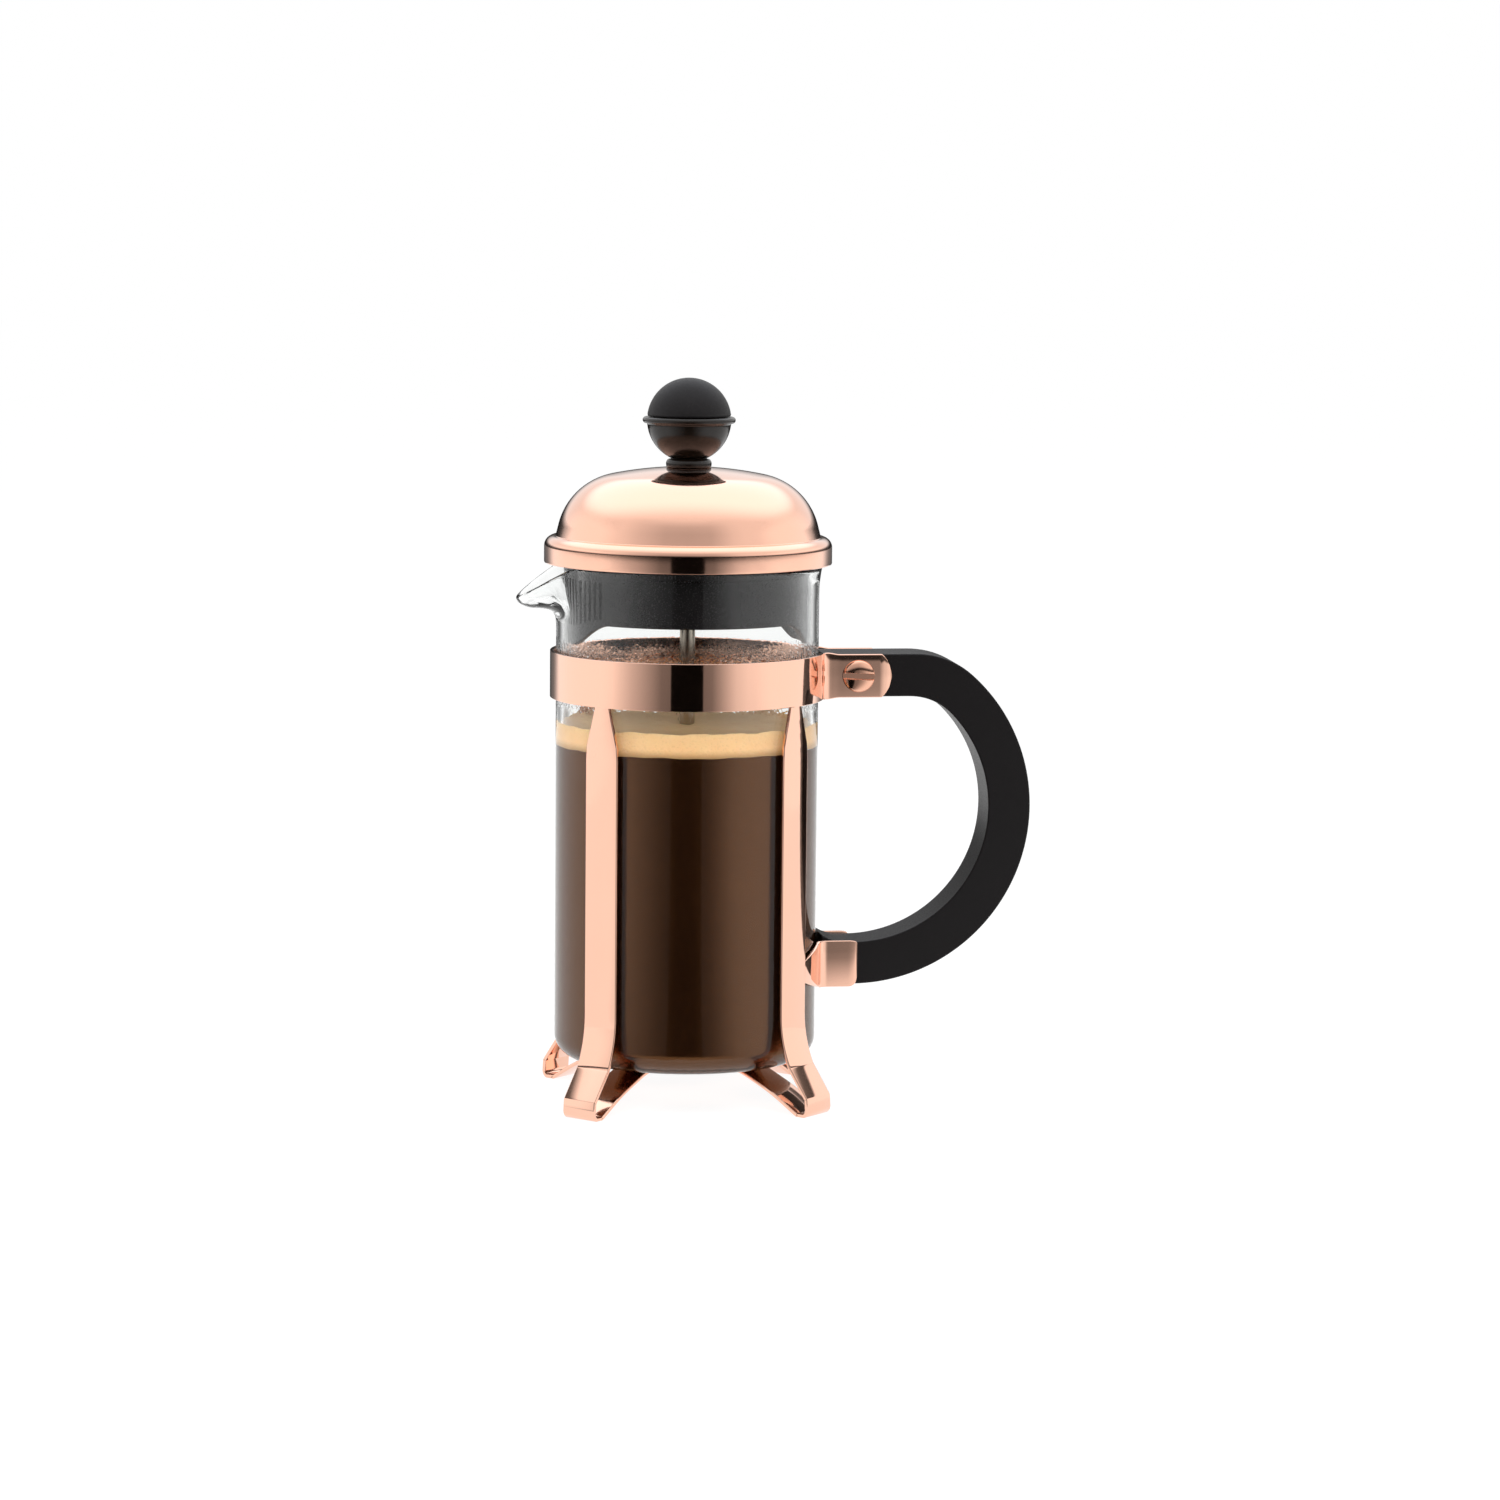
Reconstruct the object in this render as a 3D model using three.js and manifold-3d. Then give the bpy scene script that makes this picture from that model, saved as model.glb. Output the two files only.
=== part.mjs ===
// A small french press: glass beaker in a stamped copper frame, with a D-shaped handle,
// a domed lid, and a plunger that carries a sprung filter pack.
// Millimetres, +Z up. The origin is on the table, under the middle of the whole press.
// Everything round is drawn about the beaker's axis, which is moved to AXIS_X at the end.
import * as THREE from 'three';
import { mergeVertices } from 'three/addons/utils/BufferGeometryUtils.js';
import Module from 'manifold-3d';

const wasm = await Module();
wasm.setup();

// Fits
const SEAT = 0.3;             // air between fixed pieces that touch on the bench
const RUN = 0.1;              // radial play of the rod in its bush
const GLASS_GAP = 0.4;        // radial room between the glass and the frame

// Glass beaker
const BEAKER_R = 35;
const BEAKER_WALL = 1.8;
const BEAKER_FLOOR = 2;
const BEAKER_H = 132.4;
const BEAKER_CORNER_R = 6;
const LIP_FLARE = 0.7;
const LIP_H = 3;
const SPOUT_OUT = 10.8;       // tip beyond the glass
const SPOUT_TIP_DROP = 8.2;   // tip below the lip
const SPOUT_ROOT_DROP = 13.4; // where the spout leaves the wall, below the lip
const SPOUT_HALF_ANGLE = 26 * Math.PI / 180;

// Frame: band, ears, legs, feet
const SHEET = 1;
const STAND_H = 11.2;         // underside of the glass above the table
const BAND_DROP = 35.6;       // band's lower edge below the beaker's lip
const BAND_H = 12.5;
const EAR_H = 11.6;
const EAR_OUT = 18.9;         // ears beyond the glass
const EAR_END_R = 7.7;
const BEND_R = 3;             // bend from the band into an ear
const LEG_W = 10.4;
const NECK_W = 4.6;
const NECK_H = 11;
const KINK_Z = 12.6;
const KINK_OUT = 3.1;         // how far the leg has bowed out at the kink
const BOW_H = 14;             // height of the bow above the kink
const CREASE_Z = 5.2;         // crease between the slope and the foot's front face
const FOOT_OUT = 10.2;        // feet beyond the glass
const ROLL_R = 2.3;           // outside of the rolled foot
const FOOT_FLAT = 0.9;        // flat underside of the roll
const RETURN_R = 20.5;        // where the strip turns level under the glass
const RETURN_BEND_H = 1.2;    // height of the bend into the level part
const LEG_END_R = 6.6;
const BASE_PLATE_R = 12.5;
const LEG_NAMES = { leg_back_right: 45, leg_back_left: 135, leg_front_left: 225, leg_front_right: 315 };

// Clips on the two handle-side legs
const CLIP_Z = 30.4;
const CLIP_H = 12.5;
const CLIP_OUT = 10.4;        // clips beyond the glass
const CLIP_ROOT_H = 5.4;
const CLIP_CORNER_R = 1.8;

// Handle
const HANDLE_ARM = 9.75;       // straight part of the arms beyond the glass
const HANDLE_BULGE = 3;       // radius of the D over half the handle's height
const HANDLE_SECTION = 11.4;
const HANDLE_T = 15;
const HANDLE_EDGE = 1.5;
const HANDLE_BLEND = 12.5 * Math.PI / 180; // of the D taken by the rounding at its top
const HANDLE_END_GAP = 0.7;   // handle's ends to the glass
const HANDLE_END_FLARE = 1.7;

// Handle screw and its sleeve nut
const SCREW_IN = 9;           // from the ears' ends
const SCREW_SHANK_R = 2;
const SCREW_HEAD_R = 4.3;
const SCREW_HEAD_H = 1.7;
const SLOT_W = 1.6;
const SLOT_D = 0.9;

// Lid
const LID_SHEET = 0.9;
const RIM_OUT = 3.3;          // rim beyond the glass
const RIM_H = 4.4;            // straight part of the rim
const RIM_TOP_H = 7.1;        // ledge above the rim's lower edge
const DOME_H = 25.5;          // crown above the rim's lower edge
const CROWN_R = 103;
const SHOULDER_R = 18;
const DOME_WALL_IN = 0.45;    // dome's wall inside the outside of the glass
const DOME_DRAFT = 0.231;     // radians that the dome's wall leans in

// Lid insert
const INSERT_T = 1.3;
const SKIRT_CLEARANCE = 1.4;  // skirt to the inside of the glass
const SKIRT_DROP = 14.6;      // below the lip, at the sides
const TONGUE_DROP = 20.7;     // below the lip, at the spout and the handle
const TONGUE_FULL = 13 * Math.PI / 180;
const TONGUE_END = 43 * Math.PI / 180;
const SLOT_COUNT = 21;
const SLOT_PITCH = 2.1;
const SLOT_GAP_W = 0.9;
const SLOT_TOP_DROP = 3.2;
const SLOT_BOTTOM_DROP = 12.6;
const SLOT_DIP = 2.9;         // how much lower the middle slots reach

// Bush that the rod slides in
const BUSH_R = 3.4;
const BUSH_FLANGE_R = 4.8;
const BUSH_FLANGE_T = 0.6;
const BUSH_LENGTH = 11;
const TOWER_WALL = 1.8;

// Knob
const KNOB_R = 11.2;
const KNOB_NECK_UP = 2.2;     // neck above the dome's crown
const BEAD_R = 0.95;
const NECK_R = 4.65;
const KNOB_FOOT_WALL = 1;     // foot round the recess over the bush's flange
const KNOB_FOOT_H = 1.9;
const SPIGOT_R = 7;
const SPIGOT_DEPTH = 1.8;
const KNOB_INSERT_R = 3.6;
const KNOB_INSERT_L = 6;

// Plunger rod and filter pack
const ROD_R = 2.05;
const PACK_CLEAR = 0.6;       // hub above the beaker's floor
const HUB_R = 5.2;
const HUB_H = 2;
const CROSS_CLEARANCE = 3.7;  // cross plate to the inside of the glass
const CROSS_T = 0.8;
const CROSS_ARM_W = 7;
const MESH_CLEARANCE = 0.7;   // mesh rim to the inside of the glass
const MESH_T = 0.5;
const MESH_RIM_H = 4.9;
const COIL_PLAY = 0.5;        // coil inside the mesh filter's rim
const SPIRAL_T = 0.8;
const SPIRAL_HOLES = 12;
const SPIRAL_HOLE_R = 3;
const SPIRAL_HOLE_RING_R = 17.5;
const COIL_R = 1.85;
const COLLAR_R = 4.5;
const COLLAR_H = 2.5;

// Worked out from the above
const ROUND = 48;             // facets round a big circle
const SMALL = 24;             // facets round a small one
const GLASS_IN_R = BEAKER_R - BEAKER_WALL;
const LIP_Z = STAND_H + BEAKER_H;
const SPOUT_REACH = BEAKER_R + SPOUT_OUT;
const SHEET_R = BEAKER_R + GLASS_GAP + SHEET / 2;
const EAR_Y = HANDLE_T / 2 + SEAT + SHEET / 2;
const EAR_REACH = BEAKER_R + EAR_OUT;
const FOOT_REACH = BEAKER_R + FOOT_OUT;
const CLIP_REACH = BEAKER_R + CLIP_OUT;
const BAND_Z = LIP_Z - BAND_DROP;
const BAND_MID_Z = BAND_Z + BAND_H / 2;
const SCREW_X = EAR_REACH - SCREW_IN;
const HANDLE_LOW_Z = CLIP_Z + (CLIP_H - HANDLE_SECTION) / 2;
const HANDLE_TOP_Z = BAND_MID_Z + HANDLE_SECTION / 2;
const HANDLE_R = (HANDLE_TOP_Z - HANDLE_LOW_Z) / 2 + HANDLE_BULGE;
const HANDLE_REACH = BEAKER_R + HANDLE_ARM + HANDLE_R;
const AXIS_X = (SPOUT_REACH - HANDLE_REACH) / 2;
const RIM_R = BEAKER_R + RIM_OUT;
const RIM_Z = LIP_Z + SEAT;
const DOME_WALL_R = BEAKER_R - DOME_WALL_IN;
const DOME_Z = RIM_Z + DOME_H;
const SKIRT_R = GLASS_IN_R - SKIRT_CLEARANCE;
const KNOB_Z = DOME_Z + KNOB_NECK_UP + Math.sqrt(KNOB_R ** 2 - NECK_R ** 2);
const KNOB_FOOT_R = BUSH_FLANGE_R + SEAT + KNOB_FOOT_WALL;
const PACK_Z = STAND_H + BEAKER_FLOOR + PACK_CLEAR;
const CROSS_Z = PACK_Z + HUB_H + SEAT;
const CROSS_R = GLASS_IN_R - CROSS_CLEARANCE;
const MESH_Z = CROSS_Z + CROSS_T + SEAT;
const MESH_RIM_R = GLASS_IN_R - MESH_CLEARANCE;
const SPIRAL_Z = MESH_Z + MESH_T + SEAT;
const SPIRAL_R = MESH_RIM_R - MESH_T - COIL_PLAY - 2 * COIL_R - SEAT;

const copper = { color: 0xd99a78, roughness: 0.18, metalness: 1 };
const steel = { color: 0xb9bcc0, roughness: 0.3, metalness: 1 };
const brass = { color: 0xc9a254, roughness: 0.35, metalness: 1 };
const blackPlastic = { color: 0x17161a, roughness: 0.5, metalness: 0 };
const glass = { color: 0xe8f0ee, roughness: 0.02, metalness: 0, transparent: true, opacity: 0.35 };

const press = new THREE.Group();
press.position.x = AXIS_X;

function add(name, geometry, finish) {
  const mesh = new THREE.Mesh(geometry, new THREE.MeshStandardMaterial(finish));
  mesh.name = name;
  press.add(mesh);
  return mesh;
}

// Points of an arc in the plane of a profile, from angle a0 to a1
function arc(cx, cy, radius, a0, a1, steps) {
  const points = [];
  for (let i = 0; i <= steps; i += 1) {
    const a = a0 + (a1 - a0) * i / steps;
    points.push([cx + radius * Math.cos(a), cy + radius * Math.sin(a)]);
  }
  return points;
}

// Revolves [radius, height] points about +Z; a ring's profile is closed here
function turned(profile, facets, ring = false) {
  const closed = ring ? [...profile, profile[0]] : profile;
  const points = closed.map(([r, z]) => new THREE.Vector2(r, z));
  return new THREE.LatheGeometry(points, facets).rotateX(Math.PI / 2);
}

function shapeOf(points) {
  return new THREE.Shape(points.map(([x, y]) => new THREE.Vector2(x, y)));
}

// Plate of the given XY outline between two heights
function plate(shape, z0, z1) {
  const geometry = new THREE.ExtrudeGeometry(shape, { depth: z1 - z0, bevelEnabled: false, curveSegments: 12 });
  return geometry.translate(0, 0, z0);
}

// Slab of the given XZ outline, reaching halfWidth either way along Y
function slab(shape, halfWidth, bevel = {}) {
  const options = { depth: 2 * halfWidth, bevelEnabled: false, ...bevel };
  const geometry = new THREE.ExtrudeGeometry(shape, options);
  return geometry.translate(0, 0, -halfWidth).rotateX(Math.PI / 2);
}

// Outline of a bent strip: the path's points, moved half a thickness to each side
function ribbon(path, thickness) {
  const left = [];
  const right = [];
  path.forEach(([x, y], i) => {
    const [x0, y0] = path[Math.max(i - 1, 0)];
    const [x1, y1] = path[Math.min(i + 1, path.length - 1)];
    const length = Math.hypot(x1 - x0, y1 - y0);
    const nx = -(y1 - y0) / length * thickness / 2;
    const ny = (x1 - x0) / length * thickness / 2;
    left.push([x + nx, y + ny]);
    right.unshift([x - nx, y - ny]);
  });
  return shapeOf([...left, ...right]);
}

function solid(geometry) {
  const bare = geometry.clone();
  bare.deleteAttribute('normal');
  bare.deleteAttribute('uv');
  const merged = mergeVertices(bare, 1e-4);
  return new wasm.Manifold(new wasm.Mesh({
    numProp: 3,
    vertProperties: new Float32Array(merged.attributes.position.array),
    triVerts: new Uint32Array(merged.index.array),
  }));
}

function meshed(body) {
  const mesh = body.getMesh();
  const geometry = new THREE.BufferGeometry();
  geometry.setAttribute('position', new THREE.BufferAttribute(new Float32Array(mesh.vertProperties), 3));
  geometry.setIndex(new THREE.BufferAttribute(new Uint32Array(mesh.triVerts), 1));
  geometry.computeVertexNormals();
  return geometry;
}

// Round bar along Y, for holes and shanks
function crossBar(radius, y0, y1, x, z, facets = SMALL) {
  const bar = new THREE.CylinderGeometry(radius, radius, y1 - y0, facets);
  return bar.translate(x, (y0 + y1) / 2, z);
}

// ---- Glass beaker -------------------------------------------------------------------

// Each rim point has its plain place and its place in the middle of the spout
function beakerRim() {
  const spoutFloor = LIP_Z - SPOUT_ROOT_DROP + 2;
  const tipZ = LIP_Z - SPOUT_TIP_DROP;
  const outer = [
    { plain: [BEAKER_R, LIP_Z - SPOUT_ROOT_DROP - 2], spout: [BEAKER_R, LIP_Z - SPOUT_ROOT_DROP - 2] },
    { plain: [BEAKER_R, LIP_Z - SPOUT_ROOT_DROP + 2], spout: [BEAKER_R + 1.2, spoutFloor - 0.6] },
    { plain: [BEAKER_R, LIP_Z - 8.6], spout: [BEAKER_R + 4, spoutFloor - 0.1] },
    { plain: [BEAKER_R, LIP_Z - LIP_H - 2], spout: [SPOUT_REACH - 3, spoutFloor] },
    { plain: [BEAKER_R + LIP_FLARE, LIP_Z - 1], spout: [SPOUT_REACH - 0.5, tipZ - 1.6] },
    { plain: [BEAKER_R + LIP_FLARE, LIP_Z - 0.3], spout: [SPOUT_REACH, tipZ - 0.5] },
    { plain: [BEAKER_R + LIP_FLARE - 0.6, LIP_Z], spout: [SPOUT_REACH - 0.5, tipZ] },
  ];
  const inner = outer.slice(0, 4).reverse().map(({ plain, spout }) => ({
    plain: [plain[0] - BEAKER_WALL, plain[1] + 0.4],
    spout: [spout[0] - BEAKER_WALL, spout[1] + (spout[0] > BEAKER_R ? BEAKER_WALL : 0.4)],
  }));
  inner.unshift({
    plain: [BEAKER_R + LIP_FLARE - BEAKER_WALL, LIP_Z - 0.3],
    spout: [SPOUT_REACH - 1.6, tipZ - 0.1],
  });
  return [...outer, ...inner];
}

function beakerGeometry() {
  const rim = beakerRim();
  const floorZ = STAND_H + BEAKER_FLOOR;
  const innerCorner = BEAKER_CORNER_R - BEAKER_WALL;
  const below = [
    [0, STAND_H],
    ...arc(BEAKER_R - BEAKER_CORNER_R, STAND_H + BEAKER_CORNER_R, BEAKER_CORNER_R, -Math.PI / 2, 0, 5),
  ];
  const above = [
    ...arc(GLASS_IN_R - innerCorner, floorZ + innerCorner, innerCorner, 0, -Math.PI / 2, 4),
    [0, floorZ],
  ];
  const profile = [...below, ...rim.map((p) => p.plain), ...above];
  const geometry = turned(profile, ROUND);
  const position = geometry.attributes.position;
  for (let i = 0; i < position.count; i += 1) {
    const row = rim[i % profile.length - below.length];
    if (row) {
      const angle = Math.atan2(position.getY(i), position.getX(i));
      const turn = Math.PI - Math.abs(angle);
      const push = Math.cos(Math.min(turn / SPOUT_HALF_ANGLE, 1) * Math.PI / 2) ** 2;
      const r = row.plain[0] + (row.spout[0] - row.plain[0]) * push;
      const z = row.plain[1] + (row.spout[1] - row.plain[1]) * push;
      position.setXYZ(i, r * Math.cos(angle), r * Math.sin(angle), z);
    }
  }
  geometry.computeVertexNormals();
  return geometry;
}

// ---- Frame --------------------------------------------------------------------------

// Plan of the sheet from a start angle round to the +Y side of the handle, then out along it
function sheetPlan(startAngle, reach, steps) {
  const cx = Math.sqrt((SHEET_R + BEND_R) ** 2 - (EAR_Y + BEND_R) ** 2);
  const cy = EAR_Y + BEND_R;
  const meet = Math.atan2(cy, cx);
  return [
    ...arc(0, 0, SHEET_R, startAngle, meet, steps),
    ...arc(cx, cy, BEND_R, meet + Math.PI, 1.5 * Math.PI, 5).slice(1),
    [reach, EAR_Y],
  ];
}

// Side view that the band and its ears are trimmed to
function bandSideView() {
  const drop = (BAND_H - EAR_H) / 2;
  const half = Math.asin(EAR_H / 2 / EAR_END_R);
  const bendX = SHEET_R + BEND_R;
  const top = BAND_Z + BAND_H;
  return shapeOf([
    [-2 * BEAKER_R, BAND_Z],
    [bendX - 1, BAND_Z],
    [bendX + 1, BAND_Z + drop],
    ...arc(EAR_REACH - EAR_END_R, BAND_MID_Z, EAR_END_R, -half, half, 8),
    [bendX + 1, top - drop],
    [bendX - 1, top],
    [-2 * BEAKER_R, top],
  ]);
}

function bandGeometry() {
  const half = sheetPlan(Math.PI, EAR_REACH, ROUND / 2 - 2);
  const mirrored = half.slice(1).map(([x, y]) => [x, -y]).reverse();
  const ring = plate(ribbon([...mirrored, ...half], SHEET), BAND_Z, BAND_Z + BAND_H);
  const trim = slab(bandSideView(), 2 * BEAKER_R);
  const hole = crossBar(SCREW_SHANK_R + SEAT, -2 * BEAKER_R, 2 * BEAKER_R, SCREW_X, BAND_MID_Z);
  return meshed(solid(ring).intersect(solid(trim)).subtract(solid(hole)));
}

// Side path of one leg: down the glass, bowed out to a kink, out to the foot's front face,
// round the roll and back under the glass
function legPath() {
  const roll = ROLL_R - SHEET / 2;
  const rollX = FOOT_REACH - ROLL_R;
  const soleZ = SHEET / 2;
  const sole = Math.asin(FOOT_FLAT / roll);
  const rollZ = soleZ + roll * Math.cos(sole);
  const levelZ = STAND_H - SEAT - SHEET / 2;
  const bendZ = levelZ - RETURN_BEND_H;
  const bendX = RETURN_R + 3;
  const slope = (bendZ - soleZ) / (rollX - FOOT_FLAT - bendX);
  return [
    [SHEET_R, BAND_Z - SEAT],
    [SHEET_R, KINK_Z + BOW_H],
    [SHEET_R + 0.05 * KINK_OUT, KINK_Z + 0.8 * BOW_H],
    [SHEET_R + 0.22 * KINK_OUT, KINK_Z + 0.55 * BOW_H],
    [SHEET_R + 0.5 * KINK_OUT, KINK_Z + 0.28 * BOW_H],
    [SHEET_R + 0.78 * KINK_OUT, KINK_Z + 0.1 * BOW_H],
    [SHEET_R + KINK_OUT, KINK_Z],
    [rollX + roll - 0.4, CREASE_Z],
    [rollX + roll, CREASE_Z - 0.6],
    ...arc(rollX, rollZ, roll, 0, sole - Math.PI / 2, 6),
    [rollX + FOOT_FLAT / 2, soleZ],
    [rollX - FOOT_FLAT / 2, soleZ],
    [rollX - FOOT_FLAT - 0.6, soleZ + 0.6 * slope - 0.1],
    [bendX, bendZ],
    [RETURN_R + 1, levelZ - 0.3 * RETURN_BEND_H],
    [RETURN_R - 2, levelZ],
    [LEG_END_R, levelZ],
  ];
}

// Front view of a leg: a narrow neck that widens below the band
function legFrontView() {
  const top = BAND_Z;
  return shapeOf([
    [-LEG_W / 2, -1],
    [LEG_W / 2, -1],
    [LEG_W / 2, top - NECK_H],
    [NECK_W / 2, top],
    [-NECK_W / 2, top],
    [-LEG_W / 2, top - NECK_H],
  ]);
}

function legGeometry() {
  const strip = slab(ribbon(legPath(), SHEET), LEG_W);
  const front = new THREE.ExtrudeGeometry(legFrontView(), { depth: 2 * BEAKER_R, bevelEnabled: false });
  front.rotateX(Math.PI / 2).rotateZ(Math.PI / 2);
  return solid(strip).intersect(solid(front));
}

// Tab and clip that reach from a handle-side leg to the +Y side of the handle's lower end
function clipBody(legAngle) {
  const start = legAngle - 3.5 * Math.PI / 180;
  const edge = Math.asin(LEG_W / 2 / SHEET_R);
  const rootX = SHEET_R * Math.cos(legAngle - edge);
  const foldX = Math.sqrt(SHEET_R ** 2 - EAR_Y ** 2);
  const mid = CLIP_Z + CLIP_H / 2;
  const top = CLIP_Z + CLIP_H;
  const cornerX = CLIP_REACH - CLIP_CORNER_R;
  const view = shapeOf([
    [rootX - 6, mid - CLIP_ROOT_H / 2],
    [rootX, mid - CLIP_ROOT_H / 2],
    [foldX, CLIP_Z],
    ...arc(cornerX, CLIP_Z + CLIP_CORNER_R, CLIP_CORNER_R, -Math.PI / 2, 0, 4),
    [CLIP_REACH, top],
    [foldX, top],
    [rootX, mid + CLIP_ROOT_H / 2],
    [rootX - 6, mid + CLIP_ROOT_H / 2],
  ]);
  const strip = plate(ribbon(sheetPlan(start, CLIP_REACH, 7), SHEET), CLIP_Z - 1, top + 1);
  return solid(strip).intersect(solid(slab(view, 2 * BEAKER_R)));
}

function addLegs() {
  for (const [name, degrees] of Object.entries(LEG_NAMES)) {
    const angle = THREE.MathUtils.degToRad(degrees);
    let body = legGeometry();
    if (degrees === 45 || degrees === 315) {
      const side = degrees === 45 ? 1 : -1;
      const clip = meshed(clipBody(Math.PI / 4)).scale(1, side, 1);
      if (side < 0) {
        clip.index.array.reverse();
      }
      body = body.add(solid(clip.rotateZ(-angle)));
    }
    add(name, meshed(body), copper).rotation.z = angle;
  }
}

function basePlateGeometry() {
  const top = STAND_H - SEAT - SHEET - SEAT;
  const edge = 0.3;
  return turned([
    [0, top - SHEET],
    [BASE_PLATE_R - edge, top - SHEET],
    [BASE_PLATE_R, top - SHEET + edge],
    [BASE_PLATE_R, top],
    [0, top],
  ], 40);
}

// ---- Handle -------------------------------------------------------------------------

// Angle at which a level arm's face at height z, reached by the circle, starts to round into it
function blendAngle(cz, radius, z) {
  return Math.asin((z - cz) / radius) - HANDLE_BLEND;
}

// Corner rounded from a level arm at height z into a circle, met at angle `at`
function armBlend(cx, cz, radius, z, at) {
  const px = cx + radius * Math.cos(at);
  const pz = cz + radius * Math.sin(at);
  const length = (z - pz) / Math.cos(at);
  const ctrlX = px - length * Math.sin(at);
  const from = new THREE.Vector2(ctrlX - length, z);
  const curve = new THREE.QuadraticBezierCurve(from, new THREE.Vector2(ctrlX, z), new THREE.Vector2(px, pz));
  return curve.getPoints(6).map((p) => [p.x, p.y]);
}

function handleShape() {
  const lowerZ = HANDLE_LOW_Z;
  const upperZ = HANDLE_TOP_Z - HANDLE_SECTION;
  const cx = HANDLE_REACH - HANDLE_R;
  const cz = lowerZ + HANDLE_R;
  const innerR = HANDLE_R - HANDLE_SECTION;
  const outerAt = blendAngle(cz, HANDLE_R, HANDLE_TOP_Z);
  const innerAt = blendAngle(cz, innerR, upperZ);
  const endX = BEAKER_R - 2;
  const outer = [
    ...armBlend(cx, cz, HANDLE_R, HANDLE_TOP_Z, outerAt),
    ...arc(cx, cz, HANDLE_R, outerAt, -Math.PI / 2, 26).slice(1),
  ];
  const inner = [
    ...arc(cx, cz, innerR, -Math.PI / 2, innerAt, 24),
    ...armBlend(cx, cz, innerR, upperZ, innerAt).reverse().slice(1),
  ];
  return shapeOf([
    [endX, HANDLE_TOP_Z],
    ...outer,
    [endX, lowerZ],
    [endX, lowerZ + HANDLE_SECTION + HANDLE_END_FLARE + 0.7],
    [BEAKER_R + 1.5, lowerZ + HANDLE_SECTION + HANDLE_END_FLARE],
    [BEAKER_R + 4.5, lowerZ + HANDLE_SECTION + 0.4],
    ...inner,
    [endX, upperZ],
  ]);
}

function handleGeometry() {
  const bevel = {
    bevelEnabled: true,
    bevelSegments: 2,
    bevelSize: HANDLE_EDGE,
    bevelOffset: -HANDLE_EDGE,
    bevelThickness: HANDLE_EDGE,
  };
  const body = slab(handleShape(), HANDLE_T / 2 - HANDLE_EDGE, bevel);
  const mouth = new THREE.CylinderGeometry(
    BEAKER_R + HANDLE_END_GAP, BEAKER_R + HANDLE_END_GAP, 3 * BEAKER_H, ROUND);
  const hole = crossBar(SCREW_SHANK_R + SEAT, -HANDLE_T, HANDLE_T, SCREW_X, BAND_MID_Z);
  return meshed(solid(body).subtract(solid(mouth.rotateX(Math.PI / 2))).subtract(solid(hole)));
}

// Turned profile laid along -Y, with height 0 at the axis of the press
function laidOut(profile, ring) {
  return turned(profile, SMALL, ring).rotateX(Math.PI / 2).translate(SCREW_X, 0, BAND_MID_Z);
}

function domedHead(z) {
  return [
    [SCREW_HEAD_R, z],
    [SCREW_HEAD_R, z + 0.5],
    [SCREW_HEAD_R * 0.86, z + SCREW_HEAD_H * 0.72],
    [SCREW_HEAD_R * 0.5, z + SCREW_HEAD_H * 0.95],
  ];
}

function screwGeometry() {
  const seat = EAR_Y + SHEET / 2 + SEAT;
  const head = laidOut([
    [0, -seat - SCREW_HEAD_H * 0.6],
    [SCREW_SHANK_R, -seat - SCREW_HEAD_H * 0.6],
    [SCREW_SHANK_R, seat],
    ...domedHead(seat),
    [0, seat + SCREW_HEAD_H],
  ], false);
  const slot = new THREE.BoxGeometry(3 * SCREW_HEAD_R, 2 * SLOT_D, SLOT_W);
  slot.translate(SCREW_X, -(seat + SCREW_HEAD_H), BAND_MID_Z);
  return meshed(solid(head).subtract(solid(slot)));
}

function nutGeometry() {
  const seat = EAR_Y + SHEET / 2 + SEAT;
  const bore = SCREW_SHANK_R + SEAT;
  const cup = laidOut([
    [0, seat + SCREW_HEAD_H * 0.6 + SEAT],
    [bore, seat + SCREW_HEAD_H * 0.6 + SEAT],
    [bore, seat],
    ...domedHead(seat),
    [0, seat + SCREW_HEAD_H],
  ], false);
  return cup.translate(-SCREW_X, 0, 0).rotateZ(Math.PI).translate(SCREW_X, 0, 0);
}

// ---- Lid ----------------------------------------------------------------------------

// Crown, shoulder and leaning wall of the dome, `inset` inside its outer face, from the rim up
function domeLine(inset, startR, steps) {
  const shoulderX = DOME_WALL_R - SHOULDER_R * Math.cos(DOME_DRAFT);
  const lift = Math.sqrt((CROWN_R - SHOULDER_R) ** 2 - shoulderX ** 2);
  const crownZ = DOME_Z - CROWN_R;
  const meet = Math.atan2(lift, shoulderX);
  const hole = Math.acos(startR / (CROWN_R - inset));
  return [
    ...arc(shoulderX, crownZ + lift, SHOULDER_R - inset, DOME_DRAFT, meet, steps),
    ...arc(0, crownZ, CROWN_R - inset, meet, hole, 2).slice(1),
  ];
}

function domeGeometry() {
  const ledgeZ = RIM_Z + RIM_TOP_H;
  const holeR = BUSH_R + SEAT;
  const [wallR, wallZ] = domeLine(0, holeR, 7)[0];
  const footR = wallR + (wallZ - ledgeZ) * Math.tan(DOME_DRAFT);
  const beadR = RIM_TOP_H - RIM_H;
  const outside = [
    [RIM_R, RIM_Z],
    ...arc(RIM_R - beadR, RIM_Z + RIM_H, beadR, 0, Math.PI / 2, 3),
    [footR, ledgeZ],
    ...domeLine(0, holeR, 7),
  ];
  const inside = [
    ...domeLine(LID_SHEET, holeR, 5).reverse(),
    [footR - LID_SHEET, ledgeZ - LID_SHEET],
    [RIM_R - beadR, ledgeZ - LID_SHEET],
    [RIM_R - LID_SHEET, RIM_Z + RIM_H],
    [RIM_R - LID_SHEET, RIM_Z],
  ];
  return turned([...outside, ...inside], ROUND, true);
}

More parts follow.
